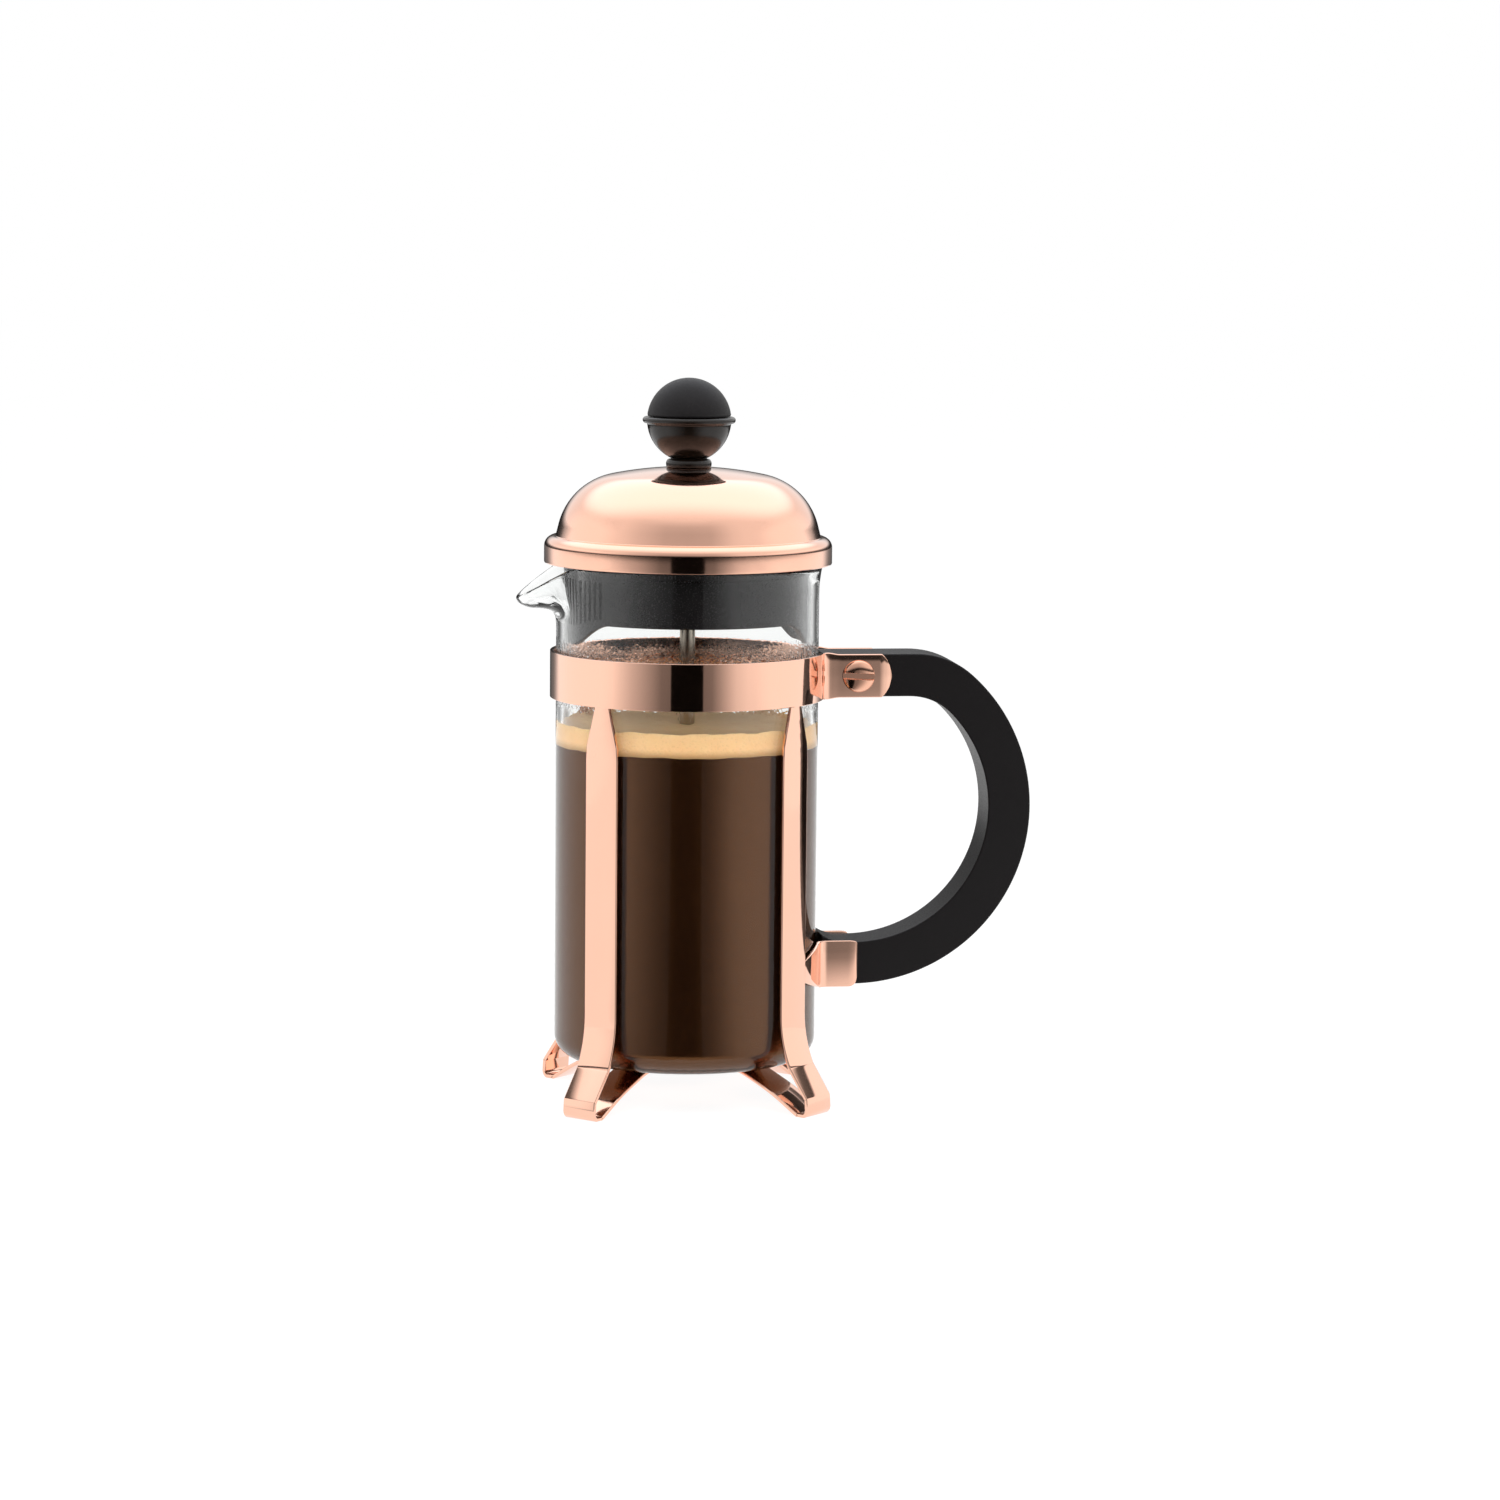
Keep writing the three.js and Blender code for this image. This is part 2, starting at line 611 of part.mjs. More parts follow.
// 0 away from the spout and handle, 1 where a tongue of the skirt is full depth
function tongue(angle) {
  const turn = Math.min(Math.abs(angle), Math.PI - Math.abs(angle));
  const t = (TONGUE_END - turn) / (TONGUE_END - TONGUE_FULL);
  return THREE.MathUtils.smoothstep(t, 0, 1);
}

// Plate with a raised rim under the dome's ledge, a ring that centres it in the glass, a skirt,
// and a tower that holds the bush
function insertGeometry() {
  const plateZ = LIP_Z + SEAT;
  const rimR = RIM_R - LID_SHEET - SEAT;
  const rimShoulder = RIM_Z + RIM_H - 0.1;
  const rimTop = RIM_Z + RIM_TOP_H - LID_SHEET - SEAT;
  const rimTopR = RIM_R - RIM_TOP_H + RIM_H - 0.1;
  const towerIn = BUSH_R + SEAT;
  const towerTop = DOME_Z - LID_SHEET - SEAT - 0.2;
  const ringR = GLASS_IN_R - GLASS_GAP;
  const skirtZ = LIP_Z - SKIRT_DROP;
  const profile = [
    [towerIn, plateZ],
    [SKIRT_R - INSERT_T, plateZ],
    [SKIRT_R - INSERT_T, plateZ - 6],
    [SKIRT_R - INSERT_T, skirtZ],
    [SKIRT_R, skirtZ],
    [SKIRT_R, plateZ - 6],
    [SKIRT_R, plateZ - 2.8],
    [ringR, plateZ - 2.3],
    [ringR, plateZ],
    [rimR, plateZ],
    [rimR, rimShoulder],
    [rimTopR, rimTop],
    [rimTopR - INSERT_T, rimTop],
    [rimTopR - INSERT_T, plateZ + INSERT_T],
    [towerIn + TOWER_WALL, plateZ + INSERT_T],
    [towerIn + TOWER_WALL, towerTop],
    [towerIn, towerTop],
  ];
  const geometry = turned(profile, ROUND, true);
  const position = geometry.attributes.position;
  for (let i = 0; i < position.count; i += 1) {
    if (position.getZ(i) < skirtZ + 0.01) {
      const angle = Math.atan2(position.getY(i), position.getX(i));
      position.setZ(i, skirtZ - (TONGUE_DROP - SKIRT_DROP) * tongue(angle));
    }
  }
  return meshed(solid(geometry).subtract(strainerSlots()));
}

// Upright slots through the skirt in front of the spout, deeper towards the middle
function strainerSlots() {
  const top = LIP_Z - SLOT_TOP_DROP;
  let slots = null;
  for (let i = 0; i < SLOT_COUNT; i += 1) {
    const turn = (i - (SLOT_COUNT - 1) / 2) * SLOT_PITCH / SKIRT_R;
    const bottom = LIP_Z - SLOT_BOTTOM_DROP - SLOT_DIP * tongue(Math.PI - Math.abs(turn));
    const box = new THREE.BoxGeometry(3 * INSERT_T, SLOT_GAP_W, top - bottom);
    box.translate(-SKIRT_R + INSERT_T / 2, 0, (top + bottom) / 2).rotateZ(turn);
    slots = slots ? slots.add(solid(box)) : solid(box);
  }
  return slots;
}

function bushGeometry() {
  const flangeZ = DOME_Z + SEAT;
  const bore = ROD_R + RUN;
  return turned([
    [bore, DOME_Z - BUSH_LENGTH],
    [BUSH_R, DOME_Z - BUSH_LENGTH],
    [BUSH_R, flangeZ],
    [BUSH_FLANGE_R, flangeZ],
    [BUSH_FLANGE_R, flangeZ + BUSH_FLANGE_T],
    [bore, flangeZ + BUSH_FLANGE_T],
  ], SMALL, true);
}

// ---- Plunger ------------------------------------------------------------------------

// Lower half of the ball with its bead, neck and flared foot; hollow above for the cap
function knobBaseGeometry() {
  const footZ = DOME_Z + SEAT - KNOB_FOOT_R ** 2 / 2 / CROWN_R + 0.1;
  const recessZ = DOME_Z + SEAT + BUSH_FLANGE_T + SEAT;
  const recessR = BUSH_FLANGE_R + SEAT;
  const neckAt = Math.acos(NECK_R / KNOB_R);
  const neckZ = KNOB_Z - KNOB_R * Math.sin(neckAt);
  const socketZ = KNOB_Z - SPIGOT_DEPTH - SEAT - KNOB_INSERT_L - SEAT;
  const bore = ROD_R + SEAT;
  const profile = [
    [bore, recessZ],
    [recessR, recessZ],
    [recessR, footZ],
    [KNOB_FOOT_R, footZ],
    [KNOB_FOOT_R, footZ + 0.35 * KNOB_FOOT_H],
    [KNOB_FOOT_R - 0.35, footZ + 0.75 * KNOB_FOOT_H],
    [NECK_R, Math.min(footZ + KNOB_FOOT_H, neckZ - 0.05)],
    ...arc(0, KNOB_Z, KNOB_R, -neckAt, -BEAD_R / KNOB_R, 6),
    ...arc(KNOB_R + BEAD_R * 0.3, KNOB_Z, BEAD_R * 0.8, -Math.PI / 3, Math.PI / 3, 3),
    [KNOB_R - 0.1, KNOB_Z + BEAD_R * 0.8],
    [SPIGOT_R + SEAT, KNOB_Z + BEAD_R * 0.8],
    [SPIGOT_R + SEAT, KNOB_Z - SPIGOT_DEPTH - SEAT],
    [KNOB_INSERT_R + SEAT, KNOB_Z - SPIGOT_DEPTH - SEAT],
    [KNOB_INSERT_R + SEAT, socketZ],
    [bore, socketZ],
  ];
  return turned(profile, 32, true);
}

function knobCapGeometry() {
  const seam = KNOB_Z + BEAD_R * 0.8 + SEAT;
  const from = Math.asin((seam - KNOB_Z) / KNOB_R);
  return turned([
    [0, KNOB_Z - SPIGOT_DEPTH],
    [SPIGOT_R, KNOB_Z - SPIGOT_DEPTH],
    [SPIGOT_R, seam],
    ...arc(0, KNOB_Z, KNOB_R, from, Math.PI / 2 - 0.15, 7),
    [0, KNOB_Z + KNOB_R],
  ], 32);
}

function knobInsertGeometry() {
  const top = KNOB_Z - SPIGOT_DEPTH - 2 * SEAT;
  return turned([
    [ROD_R + SEAT, top - KNOB_INSERT_L],
    [KNOB_INSERT_R, top - KNOB_INSERT_L],
    [KNOB_INSERT_R, top],
    [ROD_R + SEAT, top],
  ], SMALL, true);
}

function rodGeometry() {
  const top = KNOB_Z - SPIGOT_DEPTH - 3 * SEAT;
  return turned([[0, PACK_Z + SEAT], [ROD_R, PACK_Z + SEAT], [ROD_R, top], [0, top]], SMALL);
}

function ringOf(innerR, outerR, z0, z1, facets = SMALL) {
  return turned([[innerR, z0], [outerR, z0], [outerR, z1], [innerR, z1]], facets, true);
}

function discShape(radius, points) {
  const shape = new THREE.Shape();
  shape.absarc(0, 0, radius, 0, 2 * Math.PI);
  return shapeOf(shape.getPoints(points / 2).slice(0, -1).map((p) => [p.x, p.y]));
}

function holed(shape, x, y, radius) {
  const hole = new THREE.Path();
  hole.absarc(x, y, radius, 0, 2 * Math.PI, true);
  shape.holes.push(hole);
}

// Bottom plate: a rim, a hub and four arms between four windows
function crossPlateGeometry() {
  const shape = discShape(CROSS_R, 48);
  holed(shape, 0, 0, ROD_R + SEAT);
  const outR = CROSS_R - 3.5;
  const inR = HUB_R + 4;
  const outTurn = Math.asin(CROSS_ARM_W / 2 / outR);
  const inTurn = Math.asin(CROSS_ARM_W / 2 / inR);
  for (let i = 0; i < 4; i += 1) {
    const from = i * Math.PI / 2;
    const window = [
      ...arc(0, 0, outR, from + outTurn, from + Math.PI / 2 - outTurn, 6),
      ...arc(0, 0, inR, from + Math.PI / 2 - inTurn, from + inTurn, 3),
    ];
    shape.holes.push(new THREE.Path(window.map(([x, y]) => new THREE.Vector2(x, y))));
  }
  return plate(shape, CROSS_Z, CROSS_Z + CROSS_T);
}

function meshFilterGeometry() {
  const rimR = MESH_RIM_R;
  return turned([
    [ROD_R + SEAT, MESH_Z],
    [rimR - 1.6, MESH_Z],
    [rimR, MESH_Z + 1.6],
    [rimR, MESH_Z + MESH_RIM_H],
    [rimR - MESH_T, MESH_Z + MESH_RIM_H],
    [rimR - MESH_T, MESH_Z + 1.8],
    [rimR - 1.8, MESH_Z + MESH_T],
    [ROD_R + SEAT, MESH_Z + MESH_T],
  ], ROUND, true);
}

function spiralPlateGeometry() {
  const shape = discShape(SPIRAL_R, 48);
  holed(shape, 0, 0, ROD_R + SEAT);
  for (let i = 0; i < SPIRAL_HOLES; i += 1) {
    const turn = i * 2 * Math.PI / SPIRAL_HOLES;
    holed(shape, SPIRAL_HOLE_RING_R * Math.cos(turn), SPIRAL_HOLE_RING_R * Math.sin(turn), SPIRAL_HOLE_R);
  }
  const options = { depth: SPIRAL_T, bevelEnabled: false, curveSegments: 5 };
  return new THREE.ExtrudeGeometry(shape, options).translate(0, 0, SPIRAL_Z);
}

// Outer shape of the coil spring that is wound round the spiral plate's edge
function coilGeometry() {
  const middleR = SPIRAL_R + SEAT + COIL_R;
  const z = SPIRAL_Z + COIL_R;
  const section = arc(middleR, z, COIL_R, 0, 2 * Math.PI, 8).slice(0, -1);
  return turned(section, 48, true);
}

// ---- Assembly -----------------------------------------------------------------------

add('beaker', beakerGeometry(), glass);
add('frame_band', bandGeometry(), copper);
addLegs();
add('base_plate', basePlateGeometry(), copper);
add('handle', handleGeometry(), blackPlastic);
add('handle_screw', screwGeometry(), copper);
add('handle_nut', nutGeometry(), copper);
add('lid_dome', domeGeometry(), copper);
add('lid_insert', insertGeometry(), blackPlastic);
add('lid_bush', bushGeometry(), steel);
add('knob_base', knobBaseGeometry(), blackPlastic);
add('knob_cap', knobCapGeometry(), blackPlastic);
add('knob_insert', knobInsertGeometry(), brass);
add('plunger_rod', rodGeometry(), steel);
add('filter_hub', ringOf(ROD_R + SEAT, HUB_R, PACK_Z, PACK_Z + HUB_H, 24), steel);
add('cross_plate', crossPlateGeometry(), steel);
add('mesh_filter', meshFilterGeometry(), steel);
add('spiral_plate', spiralPlateGeometry(), steel);
add('spring_coil', coilGeometry(), steel);
const collarZ = SPIRAL_Z + SPIRAL_T + SEAT;
add('rod_collar', ringOf(ROD_R + SEAT, COLLAR_R, collarZ, collarZ + COLLAR_H), steel);

export default press;
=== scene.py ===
import bmesh
import bpy
import numpy as np
from mathutils import Matrix, Vector


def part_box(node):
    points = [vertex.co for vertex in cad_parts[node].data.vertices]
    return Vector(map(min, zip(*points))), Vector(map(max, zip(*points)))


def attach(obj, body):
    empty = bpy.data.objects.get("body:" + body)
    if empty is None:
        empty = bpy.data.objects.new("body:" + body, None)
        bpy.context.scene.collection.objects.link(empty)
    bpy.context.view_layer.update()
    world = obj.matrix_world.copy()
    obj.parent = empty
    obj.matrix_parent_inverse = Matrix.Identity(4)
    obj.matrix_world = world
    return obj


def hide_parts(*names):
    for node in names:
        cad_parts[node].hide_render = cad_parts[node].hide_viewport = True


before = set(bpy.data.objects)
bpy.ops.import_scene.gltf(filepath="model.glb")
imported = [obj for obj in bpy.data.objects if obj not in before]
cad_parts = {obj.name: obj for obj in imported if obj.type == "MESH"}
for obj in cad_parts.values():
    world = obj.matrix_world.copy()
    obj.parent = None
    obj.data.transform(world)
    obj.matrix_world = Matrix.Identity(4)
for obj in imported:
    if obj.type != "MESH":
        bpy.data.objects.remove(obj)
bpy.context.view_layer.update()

# ---- Studio ---------------------------------------------------------------------------
# The press stands on a pale sweep. The camera looks a little down on it from 7 degrees to the
# spout's side. Lamps stand at both sides, overhead and in front, and a dark screen round the
# camera's side, soft at its edges, draws the dark stripe down polished pieces.
rod_low, rod_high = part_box("plunger_rod")
AXIS_X = (rod_low.x + rod_high.x) / 2
CAMERA_TURN = np.radians(-7.32)
CAMERA_AWAY = 1.27
CAMERA_HEIGHT = 0.24976
LENS_LENGTH = 114.88
AIM_ASIDE = 0.765  # degrees from the beaker's axis
AIM_DOWN = 7.001  # degrees below level
AIM_ROLL = 0.548  # degrees about the line of sight


def spin(axis, angle):
    """Rotation about one axis of the frame."""
    return Matrix.Rotation(angle, 4, axis)


def around(turn, away, height):
    """Point at a turn from straight in front, at a distance from the beaker's axis and a height."""
    return Matrix.Translation((AXIS_X + away * np.sin(turn), -away * np.cos(turn), height))


def in_scene(name, data):
    """New object round a mesh, lamp or lens, put in the scene."""
    thing = bpy.data.objects.new(name, data)
    bpy.context.collection.objects.link(thing)
    return thing


lens = bpy.data.cameras.new("camera")
lens.sensor_width = 36
lens.lens = LENS_LENGTH
lens.clip_start = 0.01
camera = in_scene("camera", lens)
aim = spin("Z", CAMERA_TURN - np.radians(AIM_ASIDE)) @ spin("X", np.radians(90 - AIM_DOWN))
aim = aim @ spin("Z", np.radians(AIM_ROLL))
camera.matrix_world = around(CAMERA_TURN, CAMERA_AWAY, CAMERA_HEIGHT) @ aim
bpy.context.scene.camera = camera
bpy.context.scene.view_settings.view_transform = "Standard"


def blank_tree(owner):
    """Node tree of a material, world or lamp, with its default nodes taken out."""
    owner.use_nodes = True
    owner.node_tree.nodes.clear()
    return owner.node_tree


def put(tree, kind, inputs=(), **settings):
    """Adds one node; each input is set to a value, or linked when it is given a socket."""
    node = tree.nodes.new(kind)
    for name, value in settings.items():
        setattr(node, name, value)
    for name, value in dict(inputs).items():
        if isinstance(value, bpy.types.NodeSocket):
            tree.links.new(value, node.inputs[name])
        else:
            node.inputs[name].default_value = value
    return node


def maths(tree, operation, first, second):
    """Node that does one sum with two values."""
    return put(tree, "ShaderNodeMath", {0: first, 1: second}, operation=operation)


def remap(tree, value, low, high, to_low=0.0, to_high=1.0, **settings):
    """Node that carries a value from one range over to another, and holds it inside the second."""
    ends = {"Value": value, "From Min": low, "From Max": high, "To Min": to_low, "To Max": to_high}
    return put(tree, "ShaderNodeMapRange", ends, **settings)


def two_tones(tree, share, first, second, **settings):
    """Node that goes from one colour to another as a share goes from 0 to 1."""
    ends = {"Factor": share, "A": first, "B": second}
    return put(tree, "ShaderNodeMix", ends, data_type="RGBA", **settings)


def blended(tree, share, first, second):
    """Node that goes from one shader to another as a share goes from 0 to 1."""
    return put(tree, "ShaderNodeMixShader", {0: share, 1: first.outputs[0], 2: second.outputs[0]})


def cover(tree, shader):
    """Makes a shader the surface of its material."""
    put(tree, "ShaderNodeOutputMaterial", {"Surface": shader.outputs[0]})


def new_material(name):
    """New material and its empty node tree."""
    material = bpy.data.materials.new(name)
    return material, blank_tree(material)


def seen_directly(tree):
    """1 on camera, glossy and transmission rays, 0 on the rays that light the piece."""
    path = put(tree, "ShaderNodeLightPath")
    total = path.outputs["Is Camera Ray"]
    for ray in ("Is Glossy Ray", "Is Transmission Ray"):
        both_rays = {0: total, 1: path.outputs[ray]}
        total = put(tree, "ShaderNodeMath", both_rays, operation="ADD", use_clamp=True).outputs[0]
    return total


world = bpy.data.worlds.new("studio air")
bpy.context.scene.world = world
air = blank_tree(world)
fill = put(air, "ShaderNodeBackground", {"Color": (1, 1, 1, 1), "Strength": 0.5})
white = put(air, "ShaderNodeBackground", {"Color": (1, 1, 1, 1), "Strength": 1.0})
both = blended(air, seen_directly(air), fill, white)
put(air, "ShaderNodeOutputWorld", {"Surface": both.outputs[0]})


def flat_piece(name, corners, material):
    """One flat four-sided stage piece between its corners, in metres."""
    mesh = bpy.data.meshes.new(name)
    mesh.from_pydata(corners, [], [(0, 1, 2, 3)])
    mesh.materials.append(material)
    piece = in_scene(name, mesh)
    return piece


paper, tree = new_material("pale_sweep")
paper_shade = put(tree, "ShaderNodeBsdfDiffuse", {"Color": (0.93, 0.93, 0.93, 1)})
paper_glow = put(tree, "ShaderNodeEmission", {"Color": (1, 1, 1, 1), "Strength": 1.15})
keep_shadow = maths(tree, "MULTIPLY", seen_directly(tree), 0.78)
mixed = blended(tree, keep_shadow.outputs[0], paper_shade, paper_glow)
cover(tree, mixed)
flat_piece("sweep", [(-6, -6, 0), (6, -6, 0), (6, 6, 0), (-6, 6, 0)], paper)

# Bent dark screen: darkness falls off with the turn from the camera and with height. Its foot runs
# in along the sweep to the press, since upright polished walls mirror the floor in front of them.
SCREEN_AWAY = 0.45
SCREEN_HALF_TURN = np.radians(62)
screen_turns = np.linspace(-SCREEN_HALF_TURN, SCREEN_HALF_TURN, 49)
screen_rows = [(0.058, 0.002), (0.2, 0.002), (SCREEN_AWAY - 0.05, 0.002), (SCREEN_AWAY - 0.015, 0.015)]
screen_rows += [(SCREEN_AWAY, z) for z in np.linspace(0.05, 0.9, 10)]
turn_grid, away_grid = np.meshgrid(screen_turns, [row[0] for row in screen_rows])
height_grid = np.meshgrid(screen_turns, [row[1] for row in screen_rows])[1]
screen_points = np.stack([
    AXIS_X + away_grid * np.sin(turn_grid + CAMERA_TURN),
    -away_grid * np.cos(turn_grid + CAMERA_TURN),
    height_grid,
], axis=-1)


def grid_faces(rows, columns, wrap_rows=False, wrap_columns=False):
    """Four-sided faces of a grid of points numbered row by row, closed on itself where asked."""
    row = np.arange(rows if wrap_rows else rows - 1)[:, None]
    column = np.arange(columns if wrap_columns else columns - 1)[None, :]
    row_next, column_next = (row + 1) % rows, (column + 1) % columns
    corners = [row * columns + column, row * columns + column_next,
               row_next * columns + column_next, row_next * columns + column]
    return np.stack(np.broadcast_arrays(*corners), axis=-1).reshape(-1, 4)


def set_ramp(node, stops):
    """Grey stops of a colour ramp, as (place, value)."""
    ramp = node.color_ramp.elements
    for place, _ in stops[2:]:
        ramp.new(place)
    for stop, (place, value) in zip(ramp, sorted(stops)):
        stop.position = place
        stop.color = (value, value, value, 1)


def ramp_of(tree, factor, stops):
    """Value that a row of straight-lined stops gives to a factor."""
    node = put(tree, "ShaderNodeValToRGB", {"Fac": factor})
    set_ramp(node, stops)
    return node.outputs["Color"]


def dark_cloth(tree, darkness):
    """Black cloth that lets light through where its darkness is below 1."""
    clear = put(tree, "ShaderNodeBsdfTransparent")
    black = put(tree, "ShaderNodeBsdfDiffuse", {"Color": (0.004, 0.004, 0.004, 1)})
    mixed = blended(tree, darkness, clear, black)
    cover(tree, mixed)


screen_cloth, tree = new_material("dark_screen")
spread = put(tree, "ShaderNodeUVMap", uv_map="spread")
apart = put(tree, "ShaderNodeSeparateXYZ", {0: spread.outputs[0]})
soft_turns = [(-62, 0), (-55, 0.14), (-45, 0.38), (-33, 0.6), (-20.5, 0.82), (0, 0.88), (20, 0.8),
              (27.4, 0.6), (40, 0.2), (50, 0.05), (62, 0)]
core_turns = [(-16, 0), (-12.6, 1), (12.6, 1), (16, 0)]
across_soft, across_core = (
    ramp_of(tree, apart.outputs["X"], [(0.5 + turn / 124, dark) for turn, dark in turns])
    for turns in (soft_turns, core_turns))
rise_soft = ramp_of(tree, apart.outputs["Y"], [(0, 1), (0.2, 1), (0.34, 0.52), (0.5, 0.4), (0.68, 0)])
rise_core = ramp_of(tree, apart.outputs["Y"], [(0, 1), (0.17, 1), (0.25, 0)])
soft = maths(tree, "MULTIPLY", across_soft, rise_soft)
core = maths(tree, "MULTIPLY", across_core, rise_core)
darkness = maths(tree, "MAXIMUM", soft.outputs[0], core.outputs[0])
dark_cloth(tree, darkness.outputs[0])


def unseen_by_camera(piece):
    """Keeps a studio piece in reflections and behind glass only."""
    piece.visible_camera = False
    piece.visible_diffuse = False
    piece.visible_shadow = False


def spread_piece(name, points, spread, cloth):
    """Curved studio piece through a grid of points, with each point's spread kept as its UV."""
    mesh = bpy.data.meshes.new(name)
    faces = grid_faces(*points.shape[:2])
    mesh.from_pydata(points.reshape(-1, 3).tolist(), [], faces.tolist())
    mesh.materials.append(cloth)
    layer = mesh.uv_layers.new(name="spread")
    layer.data.foreach_set("uv", spread.reshape(-1, 2)[faces].ravel())
    piece = in_scene(name, mesh)
    unseen_by_camera(piece)
    return piece


screen_across = 0.5 + turn_grid / SCREEN_HALF_TURN / 2
screen_rise = height_grid / screen_rows[-1][1]
spread_piece("dark_screen", screen_points, np.stack([screen_across, screen_rise], axis=-1), screen_cloth)

# Dark belt round the press, just over the sweep's horizon, which draws the line on the lid's bead
BELT_R = 0.25
belt_turns = np.linspace(0, 2 * np.pi, 97)
belt_heights = [0.136, 0.15, 0.17, 0.19]
turn_grid, height_grid = np.meshgrid(belt_turns, belt_heights)
belt_x, belt_y = AXIS_X + BELT_R * np.sin(turn_grid), -BELT_R * np.cos(turn_grid)
belt_points = np.stack([belt_x, belt_y, height_grid], axis=-1)
belt_cloth, tree = new_material("dark_belt")
spread = put(tree, "ShaderNodeUVMap", uv_map="spread")
apart = put(tree, "ShaderNodeSeparateXYZ", {0: spread.outputs[0]})
dark_cloth(tree, ramp_of(tree, apart.outputs["Y"], [(0, 0), (0.12, 0.93), (0.55, 0.88), (1, 0)]))
belt_rise = (height_grid - belt_heights[0]) / (belt_heights[-1] - belt_heights[0])
belt = spread_piece("dark_belt", belt_points, np.stack([turn_grid / 2 / np.pi, belt_rise], axis=-1), belt_cloth)
belt.visible_transmission = False

# Two dark cards stand behind the press. Polished pieces mirror the whole one along their edges;
# glass shows the one that is open in the middle, where the camera looks.
BACK_AWAY = 0.75


def back_card(name, half_wide, half_high, middle_z, stops):
    """Dark card behind the press; darkness depends on how far off its middle a place lies, as a
    share of its half sizes."""
    cloth, tree = new_material(name)
    spread = put(tree, "ShaderNodeUVMap", uv_map="spread")
    off_middle = put(tree, "ShaderNodeVectorMath", {0: spread.outputs[0]}, operation="LENGTH")
    dark_cloth(tree, ramp_of(tree, off_middle.outputs["Value"], stops))
    place = around(CAMERA_TURN + np.pi, BACK_AWAY, 0) @ spin("Z", CAMERA_TURN)
    low, high = 0.002, middle_z + half_high
    corners = [(-half_wide, low), (half_wide, low), (half_wide, high), (-half_wide, high)]
    card = flat_piece(name, [tuple(place @ Vector((x, 0, z))) for x, z in corners], cloth)
    uv = [(x / half_wide, (z - middle_z) / half_high) for x, z in corners]
    card.data.uv_layers.new(name="spread").data.foreach_set("uv", np.ravel(uv))
    unseen_by_camera(card)
    return card


backing = back_card("dark_backing", 0.85, 0.36, 0.0, [(0, 0.93), (0.25, 0.93), (0.55, 0.8), (1, 0)])
backing.visible_transmission = False
open_card = back_card("dark_frame", 0.56, 0.56, 0.06, [(0, 0), (0.27, 0), (0.36, 0.93), (0.62, 0.85), (1, 0)])
open_card.visible_glossy = False


def glow_card(name, turn, away, height, tilt, half_wide, half_high, strength, colour=(1, 1, 1, 1)):
    """Soft-edged bright card, which only polished pieces mirror, that faces the press from a turn
    with its face tilted down by an angle."""
    cloth, tree = new_material(name)
    spread = put(tree, "ShaderNodeUVMap", uv_map="spread")
    off_middle = put(tree, "ShaderNodeVectorMath", {0: spread.outputs[0]}, operation="LENGTH")
    fade = remap(tree, off_middle.outputs["Value"], 0.45, 1.0, 1.0, 0.0, interpolation_type="SMOOTHSTEP")
    clear = put(tree, "ShaderNodeBsdfTransparent")
    shine = put(tree, "ShaderNodeEmission", {"Color": colour, "Strength": strength})
    mixed = blended(tree, fade.outputs[0], clear, shine)
    cover(tree, mixed)
    angle = CAMERA_TURN + np.radians(turn)
    place = around(angle, away, height) @ spin("Z", angle) @ spin("X", np.radians(90 - tilt))
    ways = ((-1, -1), (1, -1), (1, 1), (-1, 1))
    corners = [tuple(place @ Vector((x * half_wide, y * half_high, 0))) for x, y in ways]
    card = flat_piece(name, corners, cloth)
    card.data.uv_layers.new(name="spread").data.foreach_set("uv", [-1, -1, 1, -1, 1, 1, -1, 1])
    unseen_by_camera(card)
    card.visible_transmission = False


glow_card("overhead_glow", 0, -0.8, 1.3, 90, 2.4, 1.9, 1.8, (0.92, 0.95, 1.0, 1))
glow_card("left_glow", -100, 0.62, 0.16, 0, 0.62, 0.46, 1.2)
glow_card("right_glow", 100, 0.62, 0.16, 0, 0.62, 0.46, 1.2)


def lamp(name, turn, away, height, tilt, size, glow):
    """Soft rectangular lamp that faces the press; `glow` is how bright its face looks."""
    light = bpy.data.lights.new(name, "AREA")
    light.shape = "RECTANGLE"
    light.size, light.size_y = size
    light.energy = glow * np.pi * size[0] * size[1]
    holder = in_scene(name, light)
    angle = CAMERA_TURN + np.radians(turn)
    holder.matrix_world = around(angle, away, height) @ spin("Z", angle) @ spin("X", np.radians(90 - tilt))
    holder.visible_glossy = False
    holder.visible_transmission = False


lamp("left_lamp", -98, 1.1, 0.42, 14, (0.9, 0.8), 1.7)
lamp("right_lamp", 92, 1.1, 0.42, 14, (0.9, 0.8), 1.5)
lamp("overhead_lamp", 0, 0.25, 1.25, 80, (1.1, 1.1), 1.0)
lamp("front_lamp", 4, 0.72, 0.85, 45, (0.6, 0.6), 4.2)

# ---- Beaker ---------------------------------------------------------------------------
# A cylinder of clear borosilicate glass with a rounded bottom edge and a fire-polished lip,
# which is pulled out into a spout. Its walls are 1.8 mm, and mist has settled over the coffee.
# Its index is set below the real 1.47, for thinner reflections over the coffee.
glass_low, glass_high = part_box("beaker")
STAND_H = glass_low.z * 1000
LIP_Z = glass_high.z * 1000
GLASS_R = 35.0
GLASS_WALL = 1.8
GLASS_IN_R = GLASS_R - GLASS_WALL
FLOOR_T = 2.0
BOTTOM_ROUND = 6.0
INNER_ROUND = 4.2
GLASS_INDEX = 1.34
SPOUT_REACH = AXIS_X * 1000 - glass_low.x * 1000
SPOUT_HALF_TURN = np.radians(27)
FOAM_TOP = 100.9


